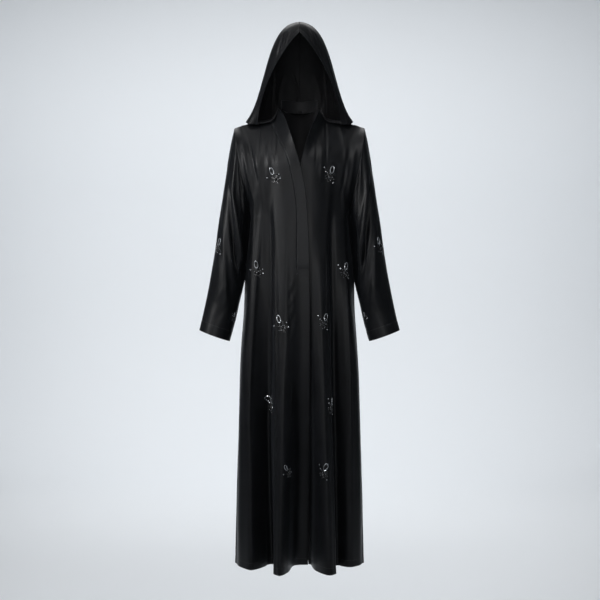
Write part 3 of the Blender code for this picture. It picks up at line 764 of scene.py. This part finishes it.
def cloth_mesh(name, grid, directions, closed, free_edges, flat):
    """A thin shell: outer face, inner face a wall inside it, and a rim, rounded where the
    edge is free. Its map holds the cloth's own width and length in metres."""
    rows, columns = grid.shape[0], grid.shape[1] - (1 if closed else 0)
    outer = grid[:, :columns]
    inner = (grid - WALL * directions)[:, :columns]
    points = np.concatenate([outer.reshape(-1, 3), inner.reshape(-1, 3)]).tolist()
    below = rows * columns
    spans = columns if closed else columns - 1

    def at(row, column, layer=0):
        return layer * below + row * columns + column % columns

    faces = [
        [at(row, column), at(row, column + 1), at(row + 1, column + 1), at(row + 1, column)]
        for row in range(rows - 1)
        for column in range(spans)
    ]
    inner_start = len(faces)
    faces += [[corner + below for corner in reversed(quad)] for quad in faces]
    rim_start = len(faces)
    runs = {
        0: [(0, column) for column in range(spans + 1)][::-1],
        1: [(rows - 1, column) for column in range(spans + 1)],
        2: [(row, 0) for row in range(rows)],
        3: [(row, columns - 1) for row in range(rows)][::-1],
    }
    if closed:
        del runs[2], runs[3]
    for edge, run in runs.items():
        outer_run = [at(*place) for place in run]
        inner_run = [at(*place, 1) for place in run]
        if edge in free_edges:
            inward = {0: (1, 0), 1: (-1, 0), 2: (0, 1), 3: (0, -1)}[edge]
            middle_run = []
            for (row, column), out, inn in zip(run, outer_run, inner_run):
                neighbour = grid[row + inward[0], (column + inward[1]) % grid.shape[1]]
                away = unit(grid[row, column % grid.shape[1]] - neighbour)
                centre = (np.array(points[out]) + np.array(points[inn])) / 2
                middle_run.append(len(points))
                points.append((centre + away * WALL * RIM_ROUND).tolist())
            if closed:
                middle_run[-1] = middle_run[0]
                del points[-1]
            strips = ((outer_run, middle_run), (middle_run, inner_run))
        else:
            strips = ((outer_run, inner_run),)
        for first, second in strips:
            for a, b, c, d in zip(first, first[1:], second[1:], second):
                faces.append([a, b, c, d][::-1])
    mesh = smooth_mesh(name, points, faces)
    mesh.polygons.foreach_set(
        "material_index", [1 if inner_start <= n < rim_start else 0 for n in range(len(faces))]
    )
    if np.einsum("ijk,ijk->ij", surface_directions(grid, closed), directions).mean() < 0:
        mesh.flip_normals()
    place = np.zeros((len(points), 2))
    place[:below] = place[below : 2 * below] = flat[:, :columns].reshape(-1, 2)
    loops = np.empty(len(mesh.loops), np.int64)
    mesh.loops.foreach_get("vertex_index", loops)
    mesh.uv_layers.new(name="grain").data.foreach_set("uv", place[loops].astype(np.float32).ravel())
    return mesh


def in_scene(name, data):
    made = bpy.data.objects.new(name, data)
    bpy.context.scene.collection.objects.link(made)
    return made


def shown(name, mesh, finishes, slot, *replaced):
    """A piece of the cloak, in its finishes, in place of the solids that it stands for."""
    made = in_scene(name, mesh)
    for finish in finishes:
        mesh.materials.append(finish)
    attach(made, "root")
    if replaced:
        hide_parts(*replaced)
    return made


# ---------------------------------------------------------------- finishes


def colour(hex_value):
    """An sRGB hex colour as linear numbers."""
    parts = [int(hex_value[n : n + 2], 16) / 255 for n in (1, 3, 5)]
    linear = [c / 12.92 if c <= 0.04045 else ((c + 0.055) / 1.055) ** 2.4 for c in parts]
    return (*linear, 1.0)


def add_node(tree, kind, inputs=(), **settings):
    """Adds a node with its settings. Each input is a value, or an output to link from."""
    node = tree.nodes.new(kind)
    for name, value in settings.items():
        setattr(node, name, value)
    for socket, value in dict(inputs).items():
        if isinstance(value, bpy.types.NodeSocket):
            tree.links.new(value, node.inputs[socket])
        else:
            node.inputs[socket].default_value = value
    return node


def material(name, **constants):
    """A new material with its shader, whose even values are set on the shader itself."""
    made = bpy.data.materials.new(name)
    made.use_nodes = True
    tree = made.node_tree
    shader = tree.nodes["Principled BSDF"]
    for socket, value in constants.items():
        shader.inputs[socket.replace("_", " ")].default_value = value
    return made, tree, shader


def ramp(tree, factor, stops):
    node = add_node(tree, "ShaderNodeValToRGB", {"Fac": factor})
    elements = node.color_ramp.elements
    elements[0].position, elements[0].color = stops[0]
    elements[1].position, elements[1].color = stops[-1]
    for position, value in stops[1:-1]:
        elements.new(position).color = value
    return node.outputs["Color"]


THREAD = 0.00055  # crepe yarn is about 0.25 mm; drawn twice as coarse, so that it shows


def woven_crepe(name, dark, light, roughness, sheen):
    """Polyester satin-backed crepe, woven of tightly twisted yarn: a fine pebbled face with a
    soft gloss that runs down each fold, on a deep piece-dyed black."""
    made, tree, shader = material(
        name, Specular_IOR_Level=0.22, IOR=1.5, Sheen_Weight=sheen, Sheen_Roughness=0.45,
        Sheen_Tint=colour("#C9D2DE"),
    )
    grain = add_node(tree, "ShaderNodeUVMap", uv_map="grain").outputs["UV"]
    threads = add_node(tree, "ShaderNodeMapping", {
        "Vector": grain, "Scale": (1 / THREAD, 0.45 / THREAD, 1.0),
    }).outputs["Vector"]
    pebbles = add_node(tree, "ShaderNodeTexNoise", {
        "Vector": threads, "Scale": 1.0, "Detail": 2.0, "Roughness": 0.6,
    }).outputs["Fac"]
    soft = add_node(tree, "ShaderNodeTexNoise", {
        "Vector": grain, "Scale": 14.0, "Detail": 3.0, "Roughness": 0.55,
    }).outputs["Fac"]
    shade = ramp(tree, soft, ((0.35, colour(dark)), (0.70, colour(light))))
    tree.links.new(shade, shader.inputs["Base Color"])
    rough = add_node(tree, "ShaderNodeMapRange", {
        "Value": soft, "From Min": 0.3, "From Max": 0.7,
        "To Min": roughness - 0.03, "To Max": roughness + 0.03,
    }).outputs["Result"]
    tree.links.new(rough, shader.inputs["Roughness"])
    raised = add_node(tree, "ShaderNodeBump", {
        "Height": pebbles, "Strength": 0.25, "Distance": 0.0002,
    }).outputs["Normal"]
    tree.links.new(raised, shader.inputs["Normal"])
    return made


def speckled(name, grain, dark, light, rough=None, **constants):
    """A material whose colour, and roughness where a range of it is given, vary in fine spots."""
    made, tree, shader = material(name, **constants)
    spots = add_node(tree, "ShaderNodeTexNoise", {"Scale": grain, "Detail": 1.0}).outputs["Fac"]
    shade = ramp(tree, spots, ((0.3, colour(dark)), (0.7, colour(light))))
    tree.links.new(shade, shader.inputs["Base Color"])
    if rough:
        varied = add_node(tree, "ShaderNodeMapRange", {
            "Value": spots, "To Min": rough[0], "To Max": rough[1],
        }).outputs["Result"]
        tree.links.new(varied, shader.inputs["Roughness"])
    return made


face = woven_crepe("crepe, satin-finished face", "#0B0C0E", "#101114", 0.42, 0.04)
# The inside of the cloth: the matt reverse side, rougher than the face. Its colour is painted lighter than
# the face's black, as painted light for the inside of the hood and of the V-neck.
reverse_with_painted_light = woven_crepe("crepe, matt reverse", "#1E1E20", "#262628", 0.60, 0.02)
satin = woven_crepe("crepe, pressed band", "#0C0D0F", "#121316", 0.40, 0.04)
# Spun polyester thread, twisted: dull, a little greyer than the cloth
thread = speckled(
    "spun polyester thread", 900.0, "#0D0D0F", "#1E1E22", Roughness=0.72, Sheen_Weight=0.25,
)
# Pressed glass beads and sequins: opaque, fire-polished to a hard gloss
jet = speckled(
    "pressed jet glass", 420.0, "#020203", "#0B0B0E", (0.10, 0.24),
    IOR=1.56, Coat_Weight=0.4, Coat_Roughness=0.04,
)
# Cut crystal and bugle beads with a silvered lining: bright, cool, mirror-like facets
crystal = speckled(
    "silver-lined crystal", 300.0, "#A9AFB6", "#F1F4F7", (0.12, 0.26),
    Metallic=0.85, Coat_Weight=0.6, Coat_Roughness=0.03,
)


# ---------------------------------------------------------------- the cut pieces

columns = close_at_ends(FRONT_COLUMNS, FRONT_END_COLUMNS)
left_folds = (*LEFT_FRONT_FOLDS, under_lap())
right_sleeve, sleeve_flat = sleeve_grid(RIGHT)
left_sleeve, _ = sleeve_grid(LEFT)
hood_right, hood_flat = hood_grid(RIGHT)
hood_left, _ = hood_grid(LEFT)

body = {
    # grid, closed round, which way its surface faces
    "right_front": (front_grid(RIGHT_FRONT_FOLDS, RIGHT_FRONT_EDGE, RIGHT, columns), False, 1),
    "left_front": (front_grid(left_folds, LEFT_FRONT_EDGE, LEFT, columns), False, -1),
    "back": (back_grid(columns), False, -1),
    "right_sleeve": (right_sleeve, True, 1),
    "left_sleeve": (left_sleeve, True, -1),
}
hood = {"hood_right": (hood_right, False, 1), "hood_left": (hood_left, False, -1)}
band_round_neck = {"neck_band": (neck_band_grid(), False, -1)}

BOTTOM, TOP, FIRST, LAST = 0, 1, 2, 3
HEM_DEPTH = 0.020
CUFF_DEPTH = 0.030
HOOD_RIM_DEPTH = 0.016


def out_and_up(grid, side):
    return np.stack([grid[..., 0] * side, grid[..., 2]], -1)


groups = (body, hood, band_round_neck)
flats = {
    name: out_and_up(grid, RIGHT if name == "right_front" else LEFT)
    for group in groups
    for name, (grid, _, _) in group.items()
}
flats.update(right_sleeve=sleeve_flat, left_sleeve=sleeve_flat)
flats.update(hood_right=hood_flat, hood_left=hood_flat)

HEM = (BOTTOM, HEM_DEPTH)
CUFF = (TOP, CUFF_DEPTH)
HOOD_RIM = (BOTTOM, HOOD_RIM_DEPTH)
making = {
    # creases, seams, topstitched hem, free edges
    "right_front": (RIGHT_FRONT_CREASES, (TOP, FIRST), HEM, (BOTTOM, LAST)),
    "left_front": (LEFT_FRONT_CREASES, (TOP, FIRST), HEM, (BOTTOM, LAST)),
    "back": (BACK_CREASES, (TOP, FIRST, LAST), HEM, (BOTTOM,)),
    "right_sleeve": (SLEEVE_CREASES + RIGHT_SLEEVE_CREASES, (BOTTOM,), CUFF, (TOP,)),
    "left_sleeve": (SLEEVE_CREASES + LEFT_SLEEVE_CREASES, (BOTTOM,), CUFF, (TOP,)),
    "hood_right": (HOOD_CREASES + HOOD_RIGHT_CREASES, (TOP, LAST), HOOD_RIM, (BOTTOM,)),
    "hood_left": (HOOD_CREASES + HOOD_LEFT_CREASES, (TOP, LAST), HOOD_RIM, (BOTTOM,)),
    "neck_band": ((), (), None, (TOP, FIRST, LAST)),
}

grids, directions = {}, {}
for group in groups:
    directions.update(agreed_directions(group))
    grids.update(group)
finished, pieces = {}, {}
for name, (grid, closed, _) in grids.items():
    creases, seams, hem, free = making[name]
    finished[name] = worked(grid, directions[name], flats[name], creases, seams, hem)
    mesh = cloth_mesh(name + "_cloth", finished[name], directions[name], closed, free, flats[name])
    pieces[name] = shown(name + "_cloth", mesh, (face, reverse_with_painted_light), "crepe", name)


# ---------------------------------------------------------------- band, loop and stitches

BAND_LIFT = 0.0013
BAND_STITCH_INSET = 0.0025
BAND_SINK = 0.0025  # how far the band's end sinks, and over what length, into the panel's cloth
BAND_MERGE = 0.030
ALL_EDGES = (BOTTOM, TOP, FIRST, LAST)


def sewn_strip(name, grid, out, flat, back):
    """A small strip of pressed cloth with all its edges free."""
    mesh = cloth_mesh(name + "_cloth", grid, out, False, ALL_EDGES, flat)
    return shown(name + "_cloth", mesh, (satin, back), "crepe", name)


# The band is a part of the finished panel, moved out from it
panel, panel_out = finished["right_front"], directions["right_front"]
band_rows = np.flatnonzero(grids["right_front"][0][:, -1, 2] >= BAND_END_Z)[:-1]
band_columns = np.flatnonzero(columns >= 1 - BAND_WIDTH_SHARE - 1e-6)
under_band = np.ix_(band_rows, band_columns)
band_out = panel_out[under_band]
band = panel[under_band] + BAND_LIFT * band_out
band_reach = reach_from_edges(band)
groove = STITCH_SINK * np.exp(-(((band_reach[FIRST] - BAND_STITCH_INSET) / STITCH_WIDTH) ** 2))
sunk = BAND_SINK * (1 - smooth_step(band_reach[BOTTOM] / BAND_MERGE))
band -= (groove + sunk)[..., None] * band_out
band_piece = sewn_strip(
    "right_front_band", band, band_out, flats["right_front"][under_band], reverse_with_painted_light
)

LOOP_SLACK = 0.0012
LOOP_ROWS = 5
LOOP_COLUMNS = 17


def loop_grid():
    """The hang loop: a narrow folded strip across the neck band's inner face, a little slack."""
    foot = finished["neck_band"][0]
    x, y, z = foot[len(foot) // 2] + (0, -WALL - LAY_ON, LOOP_RISE)
    up, across = np.meshgrid(
        np.linspace(0, 1, LOOP_ROWS), np.linspace(-1, 1, LOOP_COLUMNS), indexing="ij",
    )
    return np.stack([
        x - across * LOOP_WIDTH / 2, y - LOOP_SLACK * (1 - across**2), z + up * LOOP_HEIGHT,
    ], -1)


loop = loop_grid()
loop_out = np.zeros_like(loop) + (0.0, -1.0, 0.0)
loop_piece = sewn_strip("hang_loop", loop, loop_out, out_and_up(loop, LEFT), satin)

STITCH_LENGTH = 0.0030
STITCH_GAP = 0.0009
STITCH_HALF_WIDTH = 0.00035
STITCH_SIDES = 6
STITCH_PROFILE = (
    # share of the length, share of the half width, how high its middle is, in half widths
    (-0.50, 0.15, -0.60),
    (-0.36, 0.90, 0.20),
    (0.00, 1.00, 0.45),
    (0.36, 0.90, 0.20),
    (0.50, 0.15, -0.60),
)


def tube_faces(rings, sides, first=0):
    """Faces of a closed tube whose points lie ring after ring."""
    faces = []
    for ring in range(rings - 1):
        for side in range(sides):
            a, b = first + ring * sides + side, first + ring * sides + (side + 1) % sides
            faces.append((a, b, b + sides, a + sides))
    end = first + (rings - 1) * sides
    return faces + [tuple(range(first, first + sides))[::-1], tuple(range(end, end + sides))]


def turns_of(count):
    """Even turns round a circle."""
    return [n * 2 * math.pi / count for n in range(count)]


def stitches(name, lines):
    """Lines of machine topstitching, joined into one mesh. Each stitch is a short slim
    thread that dips into the cloth at both ends."""
    points, faces = [], []
    for line, out in lines:
        lengths = lengths_along(line)
        count = int(lengths[-1] / (STITCH_LENGTH + STITCH_GAP))
        for centre in (np.arange(count) + 0.5) * (STITCH_LENGTH + STITCH_GAP):
            places = (centre, line), (min(centre + 0.001, lengths[-1]), line), (centre, out)
            here, ahead, square = (
                np.array([np.interp(at, lengths, of[:, axis]) for axis in range(3)])
                for at, of in places
            )
            run, square = unit(ahead - here + 1e-9), unit(square)
            side = unit(np.cross(run, square))
            faces += tube_faces(len(STITCH_PROFILE), STITCH_SIDES, len(points))
            for along, size, height in STITCH_PROFILE:
                middle = here + run * along * STITCH_LENGTH + square * STITCH_HALF_WIDTH * height
                for turn in turns_of(STITCH_SIDES):
                    outward = side * math.cos(turn) + square * math.sin(turn)
                    points.append(middle + outward * STITCH_HALF_WIDTH * size)
    return shown(name, smooth_mesh(name, points, faces), (thread,), "crepe")


def line_inside(grid, out, edge, inset):
    """The line that runs along an edge at this distance inside it."""
    reach = reach_from_edges(grid)[edge]
    if edge in (BOTTOM, TOP):
        grid, out, reach = grid.transpose(1, 0, 2), out.transpose(1, 0, 2), reach.T
    if edge in (TOP, LAST):
        grid, out, reach = grid[:, ::-1], out[:, ::-1], reach[:, ::-1]
    line = [[np.interp(inset, r, g[:, axis]) for axis in range(3)] for r, g in zip(reach, grid)]
    square = [[np.interp(inset, r, o[:, axis]) for axis in range(3)] for r, o in zip(reach, out)]
    return np.array(line), np.array(square)


for name, (_, _, hem, _) in making.items():
    if hem:
        line = line_inside(finished[name], directions[name], *hem)
        stitches(name + "_hem_stitches", [line])
stitches(
    "band_stitches", [line_inside(band, band_out, FIRST, BAND_STITCH_INSET)]
)

TACK_HALF_WIDTH = 0.0030
TACK_HEIGHT = 0.0015
TACK_LIFT = 0.0004
tack_place = (band_rows[0], band_columns[1])
foot, foot_out = panel[tack_place], panel_out[tack_place]
tack_run = unit(np.cross(foot_out, (0, 0, 1)))
tack = np.linspace(-TACK_HALF_WIDTH, TACK_HALF_WIDTH, 5)[:, None] * tack_run
tack += foot + foot_out * TACK_LIFT
bar_tack = stitches("bar_tack", [
    (tack + (0, 0, rise), np.tile(foot_out, (5, 1))) for rise in np.linspace(0, TACK_HEIGHT, 3)
])


# ---------------------------------------------------------------- beadwork

# Each spray lies round the middle of its petals; sizes are in millimetres, across and up.
SPRAYS = {
    "leaning right": {
        "ring": (-13.0, 24.0, 20.0),  # across, up, tilt in degrees
        "crystals": ((-28.0, 4.0), (15.0, 1.0), (10.0, 14.0)),
        "petals_from": 10.0,
    },
    "leaning left": {
        "ring": (7.0, 22.0, -16.0),
        "crystals": ((-17.0, 28.0), (11.0, -17.0), (-12.0, 16.0)),
        "petals_from": 40.0,
    },
}
RING_HALF_SIZE = (5.6, 11.0)
RING_ROWS = (
    # kind, count, share of the ring's size, height above the cloth
    ("bugle", 17, 1.00, 0.9),
    ("jet", 18, 0.62, 0.7),
)
PETALS = 5
PETAL_BEADS = 12
PETAL_REACH = (4.0, 15.0)
PETAL_HALF_WIDTH = 4.2
PETAL_SEQUINS = ((7.0, 0.71), (11.0, 0.83))  # how far out and how high
HEART_BEADS = 6
HEART_RADIUS = 2.3
STEM_START = 8.0
STEM_STEP = 2.5
SEED_RADIUS = 0.85
JET_RADIUS = 1.05

MOTIFS = (
    # name, panel, across, up, where it is seen from, spray, size, turn in degrees
    ("breast_right", "right_front", -0.0715, -0.2170, 0, "leaning right", 1.00, 0),
    ("breast_left", "left_front", 0.0920, -0.2100, 0, "leaning left", 1.00, 0),
    ("waist_right", "right_front", -0.1245, -0.5000, 0, "leaning right", 0.95, -12),
    ("waist_left", "left_front", 0.1385, -0.5010, 0, "leaning left", 0.95, 6),
    ("hip_right", "right_front", -0.0500, -0.6650, 0, "leaning right", 1.05, 0),
    ("hip_left", "left_front", 0.0740, -0.6560, 0, "leaning left", 0.95, 0),
    ("knee_right", "right_front", -0.0850, -0.9120, 0, "leaning right", 1.00, 0),
    ("knee_left", "left_front", 0.0960, -0.9100, 0, "leaning left", 1.00, -8),
    ("shin_right", "right_front", -0.0325, -1.1040, 0, "leaning right", 0.85, 10),
    ("shin_left", "left_front", 0.0720, -1.1040, 0, "leaning left", 0.95, 0),
    ("sleeve_right", "right_sleeve", -0.30, -0.4280, -36, "leaning left", 1.00, 10),
    ("sleeve_left", "left_sleeve", 0.30, -0.4280, 36, "leaning right", 1.00, -10),
    ("forearm_right", "right_sleeve", -0.10, -0.6400, 62, "leaning left", 0.55, 0),
    ("forearm_left", "left_sleeve", 0.10, -0.6400, -62, "leaning right", 0.55, 0),
)


def turned_solid(profile, sides):
    """Points and faces of a small turned solid on Z, from (height, radius) pairs."""
    points = [
        (radius * math.cos(turn), radius * math.sin(turn), height)
        for height, radius in profile
        for turn in turns_of(sides)
    ]
    return np.array(points), tube_faces(len(profile), sides)


def ball(radius, sides=8, rings=6):
    angles = np.linspace(-0.46 * math.pi, 0.46 * math.pi, rings)
    return turned_solid([(radius * math.sin(a), radius * math.cos(a)) for a in angles], sides)


BEADS = {
    "bugle": turned_solid(((-1.70, 0.45), (-1.55, 0.95), (1.55, 0.95), (1.70, 0.45)), 8),
    "seed": ball(SEED_RADIUS),
    "jet": ball(JET_RADIUS),
    "crystal": turned_solid(((-0.90, 0.60), (-0.10, 1.90), (0.35, 1.90), (1.25, 1.05)), 8),
    "sequin": turned_solid(
        ((-0.10, 0.40), (0.10, 2.20), (0.35, 2.40), (0.45, 2.40), (0.05, 0.50)), 10
    ),
}


def swung(x, y, angle):
    return (x * math.cos(angle) - y * math.sin(angle), x * math.sin(angle) + y * math.cos(angle))


def spray_beads(spray):
    """Where each bead of a spray lies: kind, across, up, height, and the way that its axis
    runs, as an angle in the cloth, or None for an axis that stands up from it."""
    beads = []
    across, up, tilt = spray["ring"]
    lean = math.radians(tilt)
    half_width, half_height = RING_HALF_SIZE
    for kind, count, share, height in RING_ROWS:
        for turn in turns_of(count):
            sine, cosine = math.sin(turn), math.cos(turn)
            x, y = swung(half_width * share * sine, half_height * share * cosine, lean)
            way = math.atan2(-half_height * sine, half_width * cosine) + lean
            beads.append((kind, across + x, up + y, height, way))
    middle, half = sum(PETAL_REACH) / 2, (PETAL_REACH[1] - PETAL_REACH[0]) / 2
    for petal in range(PETALS):
        way = math.radians(spray["petals_from"] + petal * 360 / PETALS)
        for step, turn in enumerate(turns_of(PETAL_BEADS)):
            kind = "seed" if step % 4 == petal % 4 else "jet"
            along, aside = middle + half * math.cos(turn), PETAL_HALF_WIDTH * math.sin(turn)
            beads.append((kind, *swung(along, aside, way), 0.8, None))
        for along, height in PETAL_SEQUINS:
            beads.append(("sequin", *swung(along, 0.0, way), height, None))
    for turn in turns_of(HEART_BEADS):
        beads.append(("jet", *swung(HEART_RADIUS, 0.0, turn), 1.4, None))
    beads.append(("jet", 0.0, 0.0, 1.9, None))
    for across, up in spray["crystals"]:
        beads.append(("crystal", across, up, 0.9, None))
        length = math.hypot(across, up)
        for along in np.arange(STEM_START, length - 2.6, STEM_STEP) / length:
            beads.append(("jet", across * along, up * along, 0.8, None))
    return beads


surfaces = {
    name: BVHTree.FromObject(piece, bpy.context.evaluated_depsgraph_get())
    for name, piece in pieces.items()
}


def on_cloth(panel, start, way):
    """Where a needle from this start meets the cloth's outer face, and which way it faces."""
    place, square, _, _ = surfaces[panel].ray_cast(Vector(start), Vector(way))
    if place is None:
        return None, None
    return np.array(place), np.array(square if square.dot(Vector(way)) < 0 else -square)


NEEDLE_REACH = 0.6
NEEDLE_LIFT = 0.035
AVERAGE_OVER = 0.012
ARM_AXIS_INSIDE = 0.064  # how far inside the shoulder's tip a sleeve's axis starts
FACET_ANGLE = math.radians(38)


def beadwork(name, panel, across, up, azimuth, spray, size, turn):
    """One spray sewn to a panel: the cut crystal and silver-lined beads, and the jet ones."""
    seen_from = math.radians(azimuth)
    towards = np.array([-math.sin(seen_from), math.cos(seen_from), 0.0])
    sideways = np.array([towards[1], -towards[0], 0.0])
    middle = np.array([across, 0.0, up])
    if azimuth:
        share = (SHOULDER_TIP[2] - up) / (SHOULDER_TIP[2] - CUFF_CENTRE[2])
        out = mix(SHOULDER_TIP[0] - ARM_AXIS_INSIDE, CUFF_CENTRE[0], share)
        middle = placed((out, mix(0.0, CUFF_CENTRE[1], share), up), math.copysign(1.0, across))
    start = middle - towards * NEEDLE_REACH
    squares = []
    for dx in (-AVERAGE_OVER, 0, AVERAGE_OVER):
        for dz in (-AVERAGE_OVER, 0, AVERAGE_OVER):
            _, square = on_cloth(panel, start + sideways * dx + (0, 0, dz), towards)
            if square is not None:
                squares.append(square)
    square = unit(np.mean(squares, axis=0))
    centre, _ = on_cloth(panel, start, towards)
    right = unit(np.cross((0.0, 0.0, 1.0), square))
    rise = np.cross(square, right)
    lean = math.radians(turn)
    parts = {"crystal": ([], []), "jet": ([], [])}
    for kind, x, y, height, way in spray_beads(SPRAYS[spray]):
        x, y = swung(x, y, lean)
        aim = centre + (right * x + rise * y) * size * MM
        place, local = on_cloth(panel, aim + square * NEEDLE_LIFT, -square)
        if place is None:
            continue
        local = unit(local + square)
        if way is None:
            first_axis, last_axis = unit(np.cross(local, rise)), local
        else:
            run = right * math.cos(way + lean) + rise * math.sin(way + lean)
            first_axis, last_axis = local, unit(np.cross(np.cross(local, run), local))
        axes = np.stack([first_axis, np.cross(last_axis, first_axis), last_axis])
        shape, shape_faces = BEADS[kind]
        points, faces = parts["crystal" if kind in ("bugle", "seed", "crystal") else "jet"]
        faces += [tuple(len(points) + corner for corner in face) for face in shape_faces]
        points.extend(place + (local * height + shape @ axes) * size * MM)
    made = []
    for part, finish in (("crystal", crystal), ("jet", jet)):
        mesh = smooth_mesh(f"beads_{name}_{part}", *parts[part])
        mesh.set_sharp_from_angle(angle=FACET_ANGLE)
        made.append(shown(f"beads_{name}_{part}", mesh, (finish,), "beads"))
    return made


beads_on = {}
for motif in MOTIFS:
    beads_on.setdefault(motif[1], []).extend(beadwork(*motif))


# ---------------------------------------------------------------- studio

CAMERA_PLACE = (0.0016, -3.5, -0.583)
CAMERA_LENS = 67.3
FLOOR_Z = -1.80
BOWL_RADIUS = 6.5
BOWL_COVE = 2.2
BOWL_TOP = 5.0
BOWL_SIDES = 128
FLAG_ENDS = ((1.30, 0.40), (2.40, 4.40))
FLAG_HEIGHTS = (-1.75, 1.60)
WHITE = "#FFFFFF"
COOL_WHITE = "#FBFDFF"
LIGHTS = (
    # name, place, what it points at, width, height, power, colour, spread in degrees
    ("front", (-0.6, -2.2, 0.45), (0, 0, -0.1), 1.8, 1.5, 7, WHITE, 180),
    ("high front", (-0.5, -1.6, 1.5), (0, 0, -0.2), 1.4, 1.3, 6, WHITE, 180),
    ("overhead", (-0.2, -0.8, 1.8), (0, 0, -0.1), 1.6, 0.8, 10, WHITE, 180),
    ("beside the camera", (0, -3.7, -0.35), (0, 0, -0.3), 0.8, 0.8, 12, WHITE, 180),
    ("upper left", (-1.2, -1.5, 0.5), (0, 0, -0.35), 0.6, 1.0, 0.5, WHITE, 80),
    ("left", (-1.3, -0.9, 0.3), (-0.1, 0, -0.45), 0.5, 1.2, 2.6, WHITE, 60),
    ("upper right", (1.5, -1.7, 0.8), (0, 0, -0.3), 0.6, 1.0, 1.5, COOL_WHITE, 180),
    ("backdrop left", (-1.3, 2.9, 2.2), (-1.4, 6.4, -1.1), 1.6, 1.2, 42, WHITE, 130),
    ("backdrop right", (1.3, 2.9, 2.2), (1.4, 6.4, -1.1), 1.6, 1.2, 36, WHITE, 130),
    ("backdrop middle", (0, 2.9, 2.6), (0, 6.4, 0.8), 1.2, 1.0, 13, WHITE, 110),
    ("floor", (0, 2.0, 2.6), (0, 1.8, -1.8), 3.4, 1.6, 54, WHITE, 110),
    ("near floor left", (-1.3, 0.7, 1.4), (-1.3, 0.4, -1.8), 1.0, 1.0, 1.6, WHITE, 70),
    ("near floor right", (1.3, 0.7, 1.4), (1.3, 0.4, -1.8), 1.0, 1.0, 1.4, WHITE, 70),
)


def seamless_bowl():
    """A pale floor that turns up all round into a wall with no edge."""
    arc = np.linspace(0, math.pi / 2, 25)
    radii = [*(BOWL_RADIUS - BOWL_COVE + BOWL_COVE * np.sin(arc)), BOWL_RADIUS]
    heights = [*(FLOOR_Z + BOWL_COVE * (1 - np.cos(arc))), BOWL_TOP]
    points, _ = turned_solid(list(zip(heights, radii)), BOWL_SIDES)
    points = [(0.0, 0.0, FLOOR_Z), *points]
    faces = [(0, 1 + n, 1 + (n + 1) % BOWL_SIDES) for n in range(BOWL_SIDES)]
    faces += [(a, d, c, b) for a, b, c, d in tube_faces(len(radii), BOWL_SIDES, 1)[:-2]]
    mesh = smooth_mesh("studio", points, faces)
    mesh.materials.append(speckled(
        "matt studio paint", 0.6, "#E2E6EA", "#E6EAEE", Specular_IOR_Level=0.1, Roughness=0.9,
    ))
    in_scene("studio", mesh)


def dark_flag(name, side):
    """A tall black panel beside the cloak, which keeps the pale walls out of the cloth's sides.
    It is hidden from the camera, so it never stands in front of the cloak."""
    points = [(side * out, y, z) for z in FLAG_HEIGHTS for out, y in FLAG_ENDS]
    mesh = bpy.data.meshes.new(name)
    mesh.from_pydata(points, [], [(0, 1, 3, 2)])
    mesh.materials.append(material("black felt", Base_Color=colour("#0A0A0B"), Roughness=0.95)[0])
    flag = in_scene(name, mesh)
    flag.visible_camera = False


def soft_light(name, place, target, width, height, power, tint, spread):
    data = bpy.data.lights.new(name, "AREA")
    data.shape = "RECTANGLE"
    data.size, data.size_y = width, height
    data.energy = power
    data.spread = math.radians(spread)
    data.color = colour(tint)[:3]
    light = in_scene(name, data)
    light.location = place
    light.rotation_euler = (Vector(target) - Vector(place)).to_track_quat("-Z", "Y").to_euler()
    light.visible_camera = False


def studio():
    seamless_bowl()
    world = bpy.data.worlds.new("studio air")
    bpy.context.scene.world = world
    world.use_nodes = True
    background = world.node_tree.nodes["Background"]
    background.inputs["Color"].default_value = colour("#E4EAF0")
    background.inputs["Strength"].default_value = 0.10
    for light in LIGHTS:
        soft_light(*light)
    dark_flag("dark flag on the left", RIGHT)
    dark_flag("dark flag on the right", LEFT)


studio()
camera = in_scene("camera", bpy.data.cameras.new("camera"))
camera.data.lens = CAMERA_LENS
camera.location = CAMERA_PLACE
camera.rotation_euler = (math.pi / 2, 0, 0)
bpy.context.scene.camera = camera
bpy.context.scene.view_settings.view_transform = "Standard"
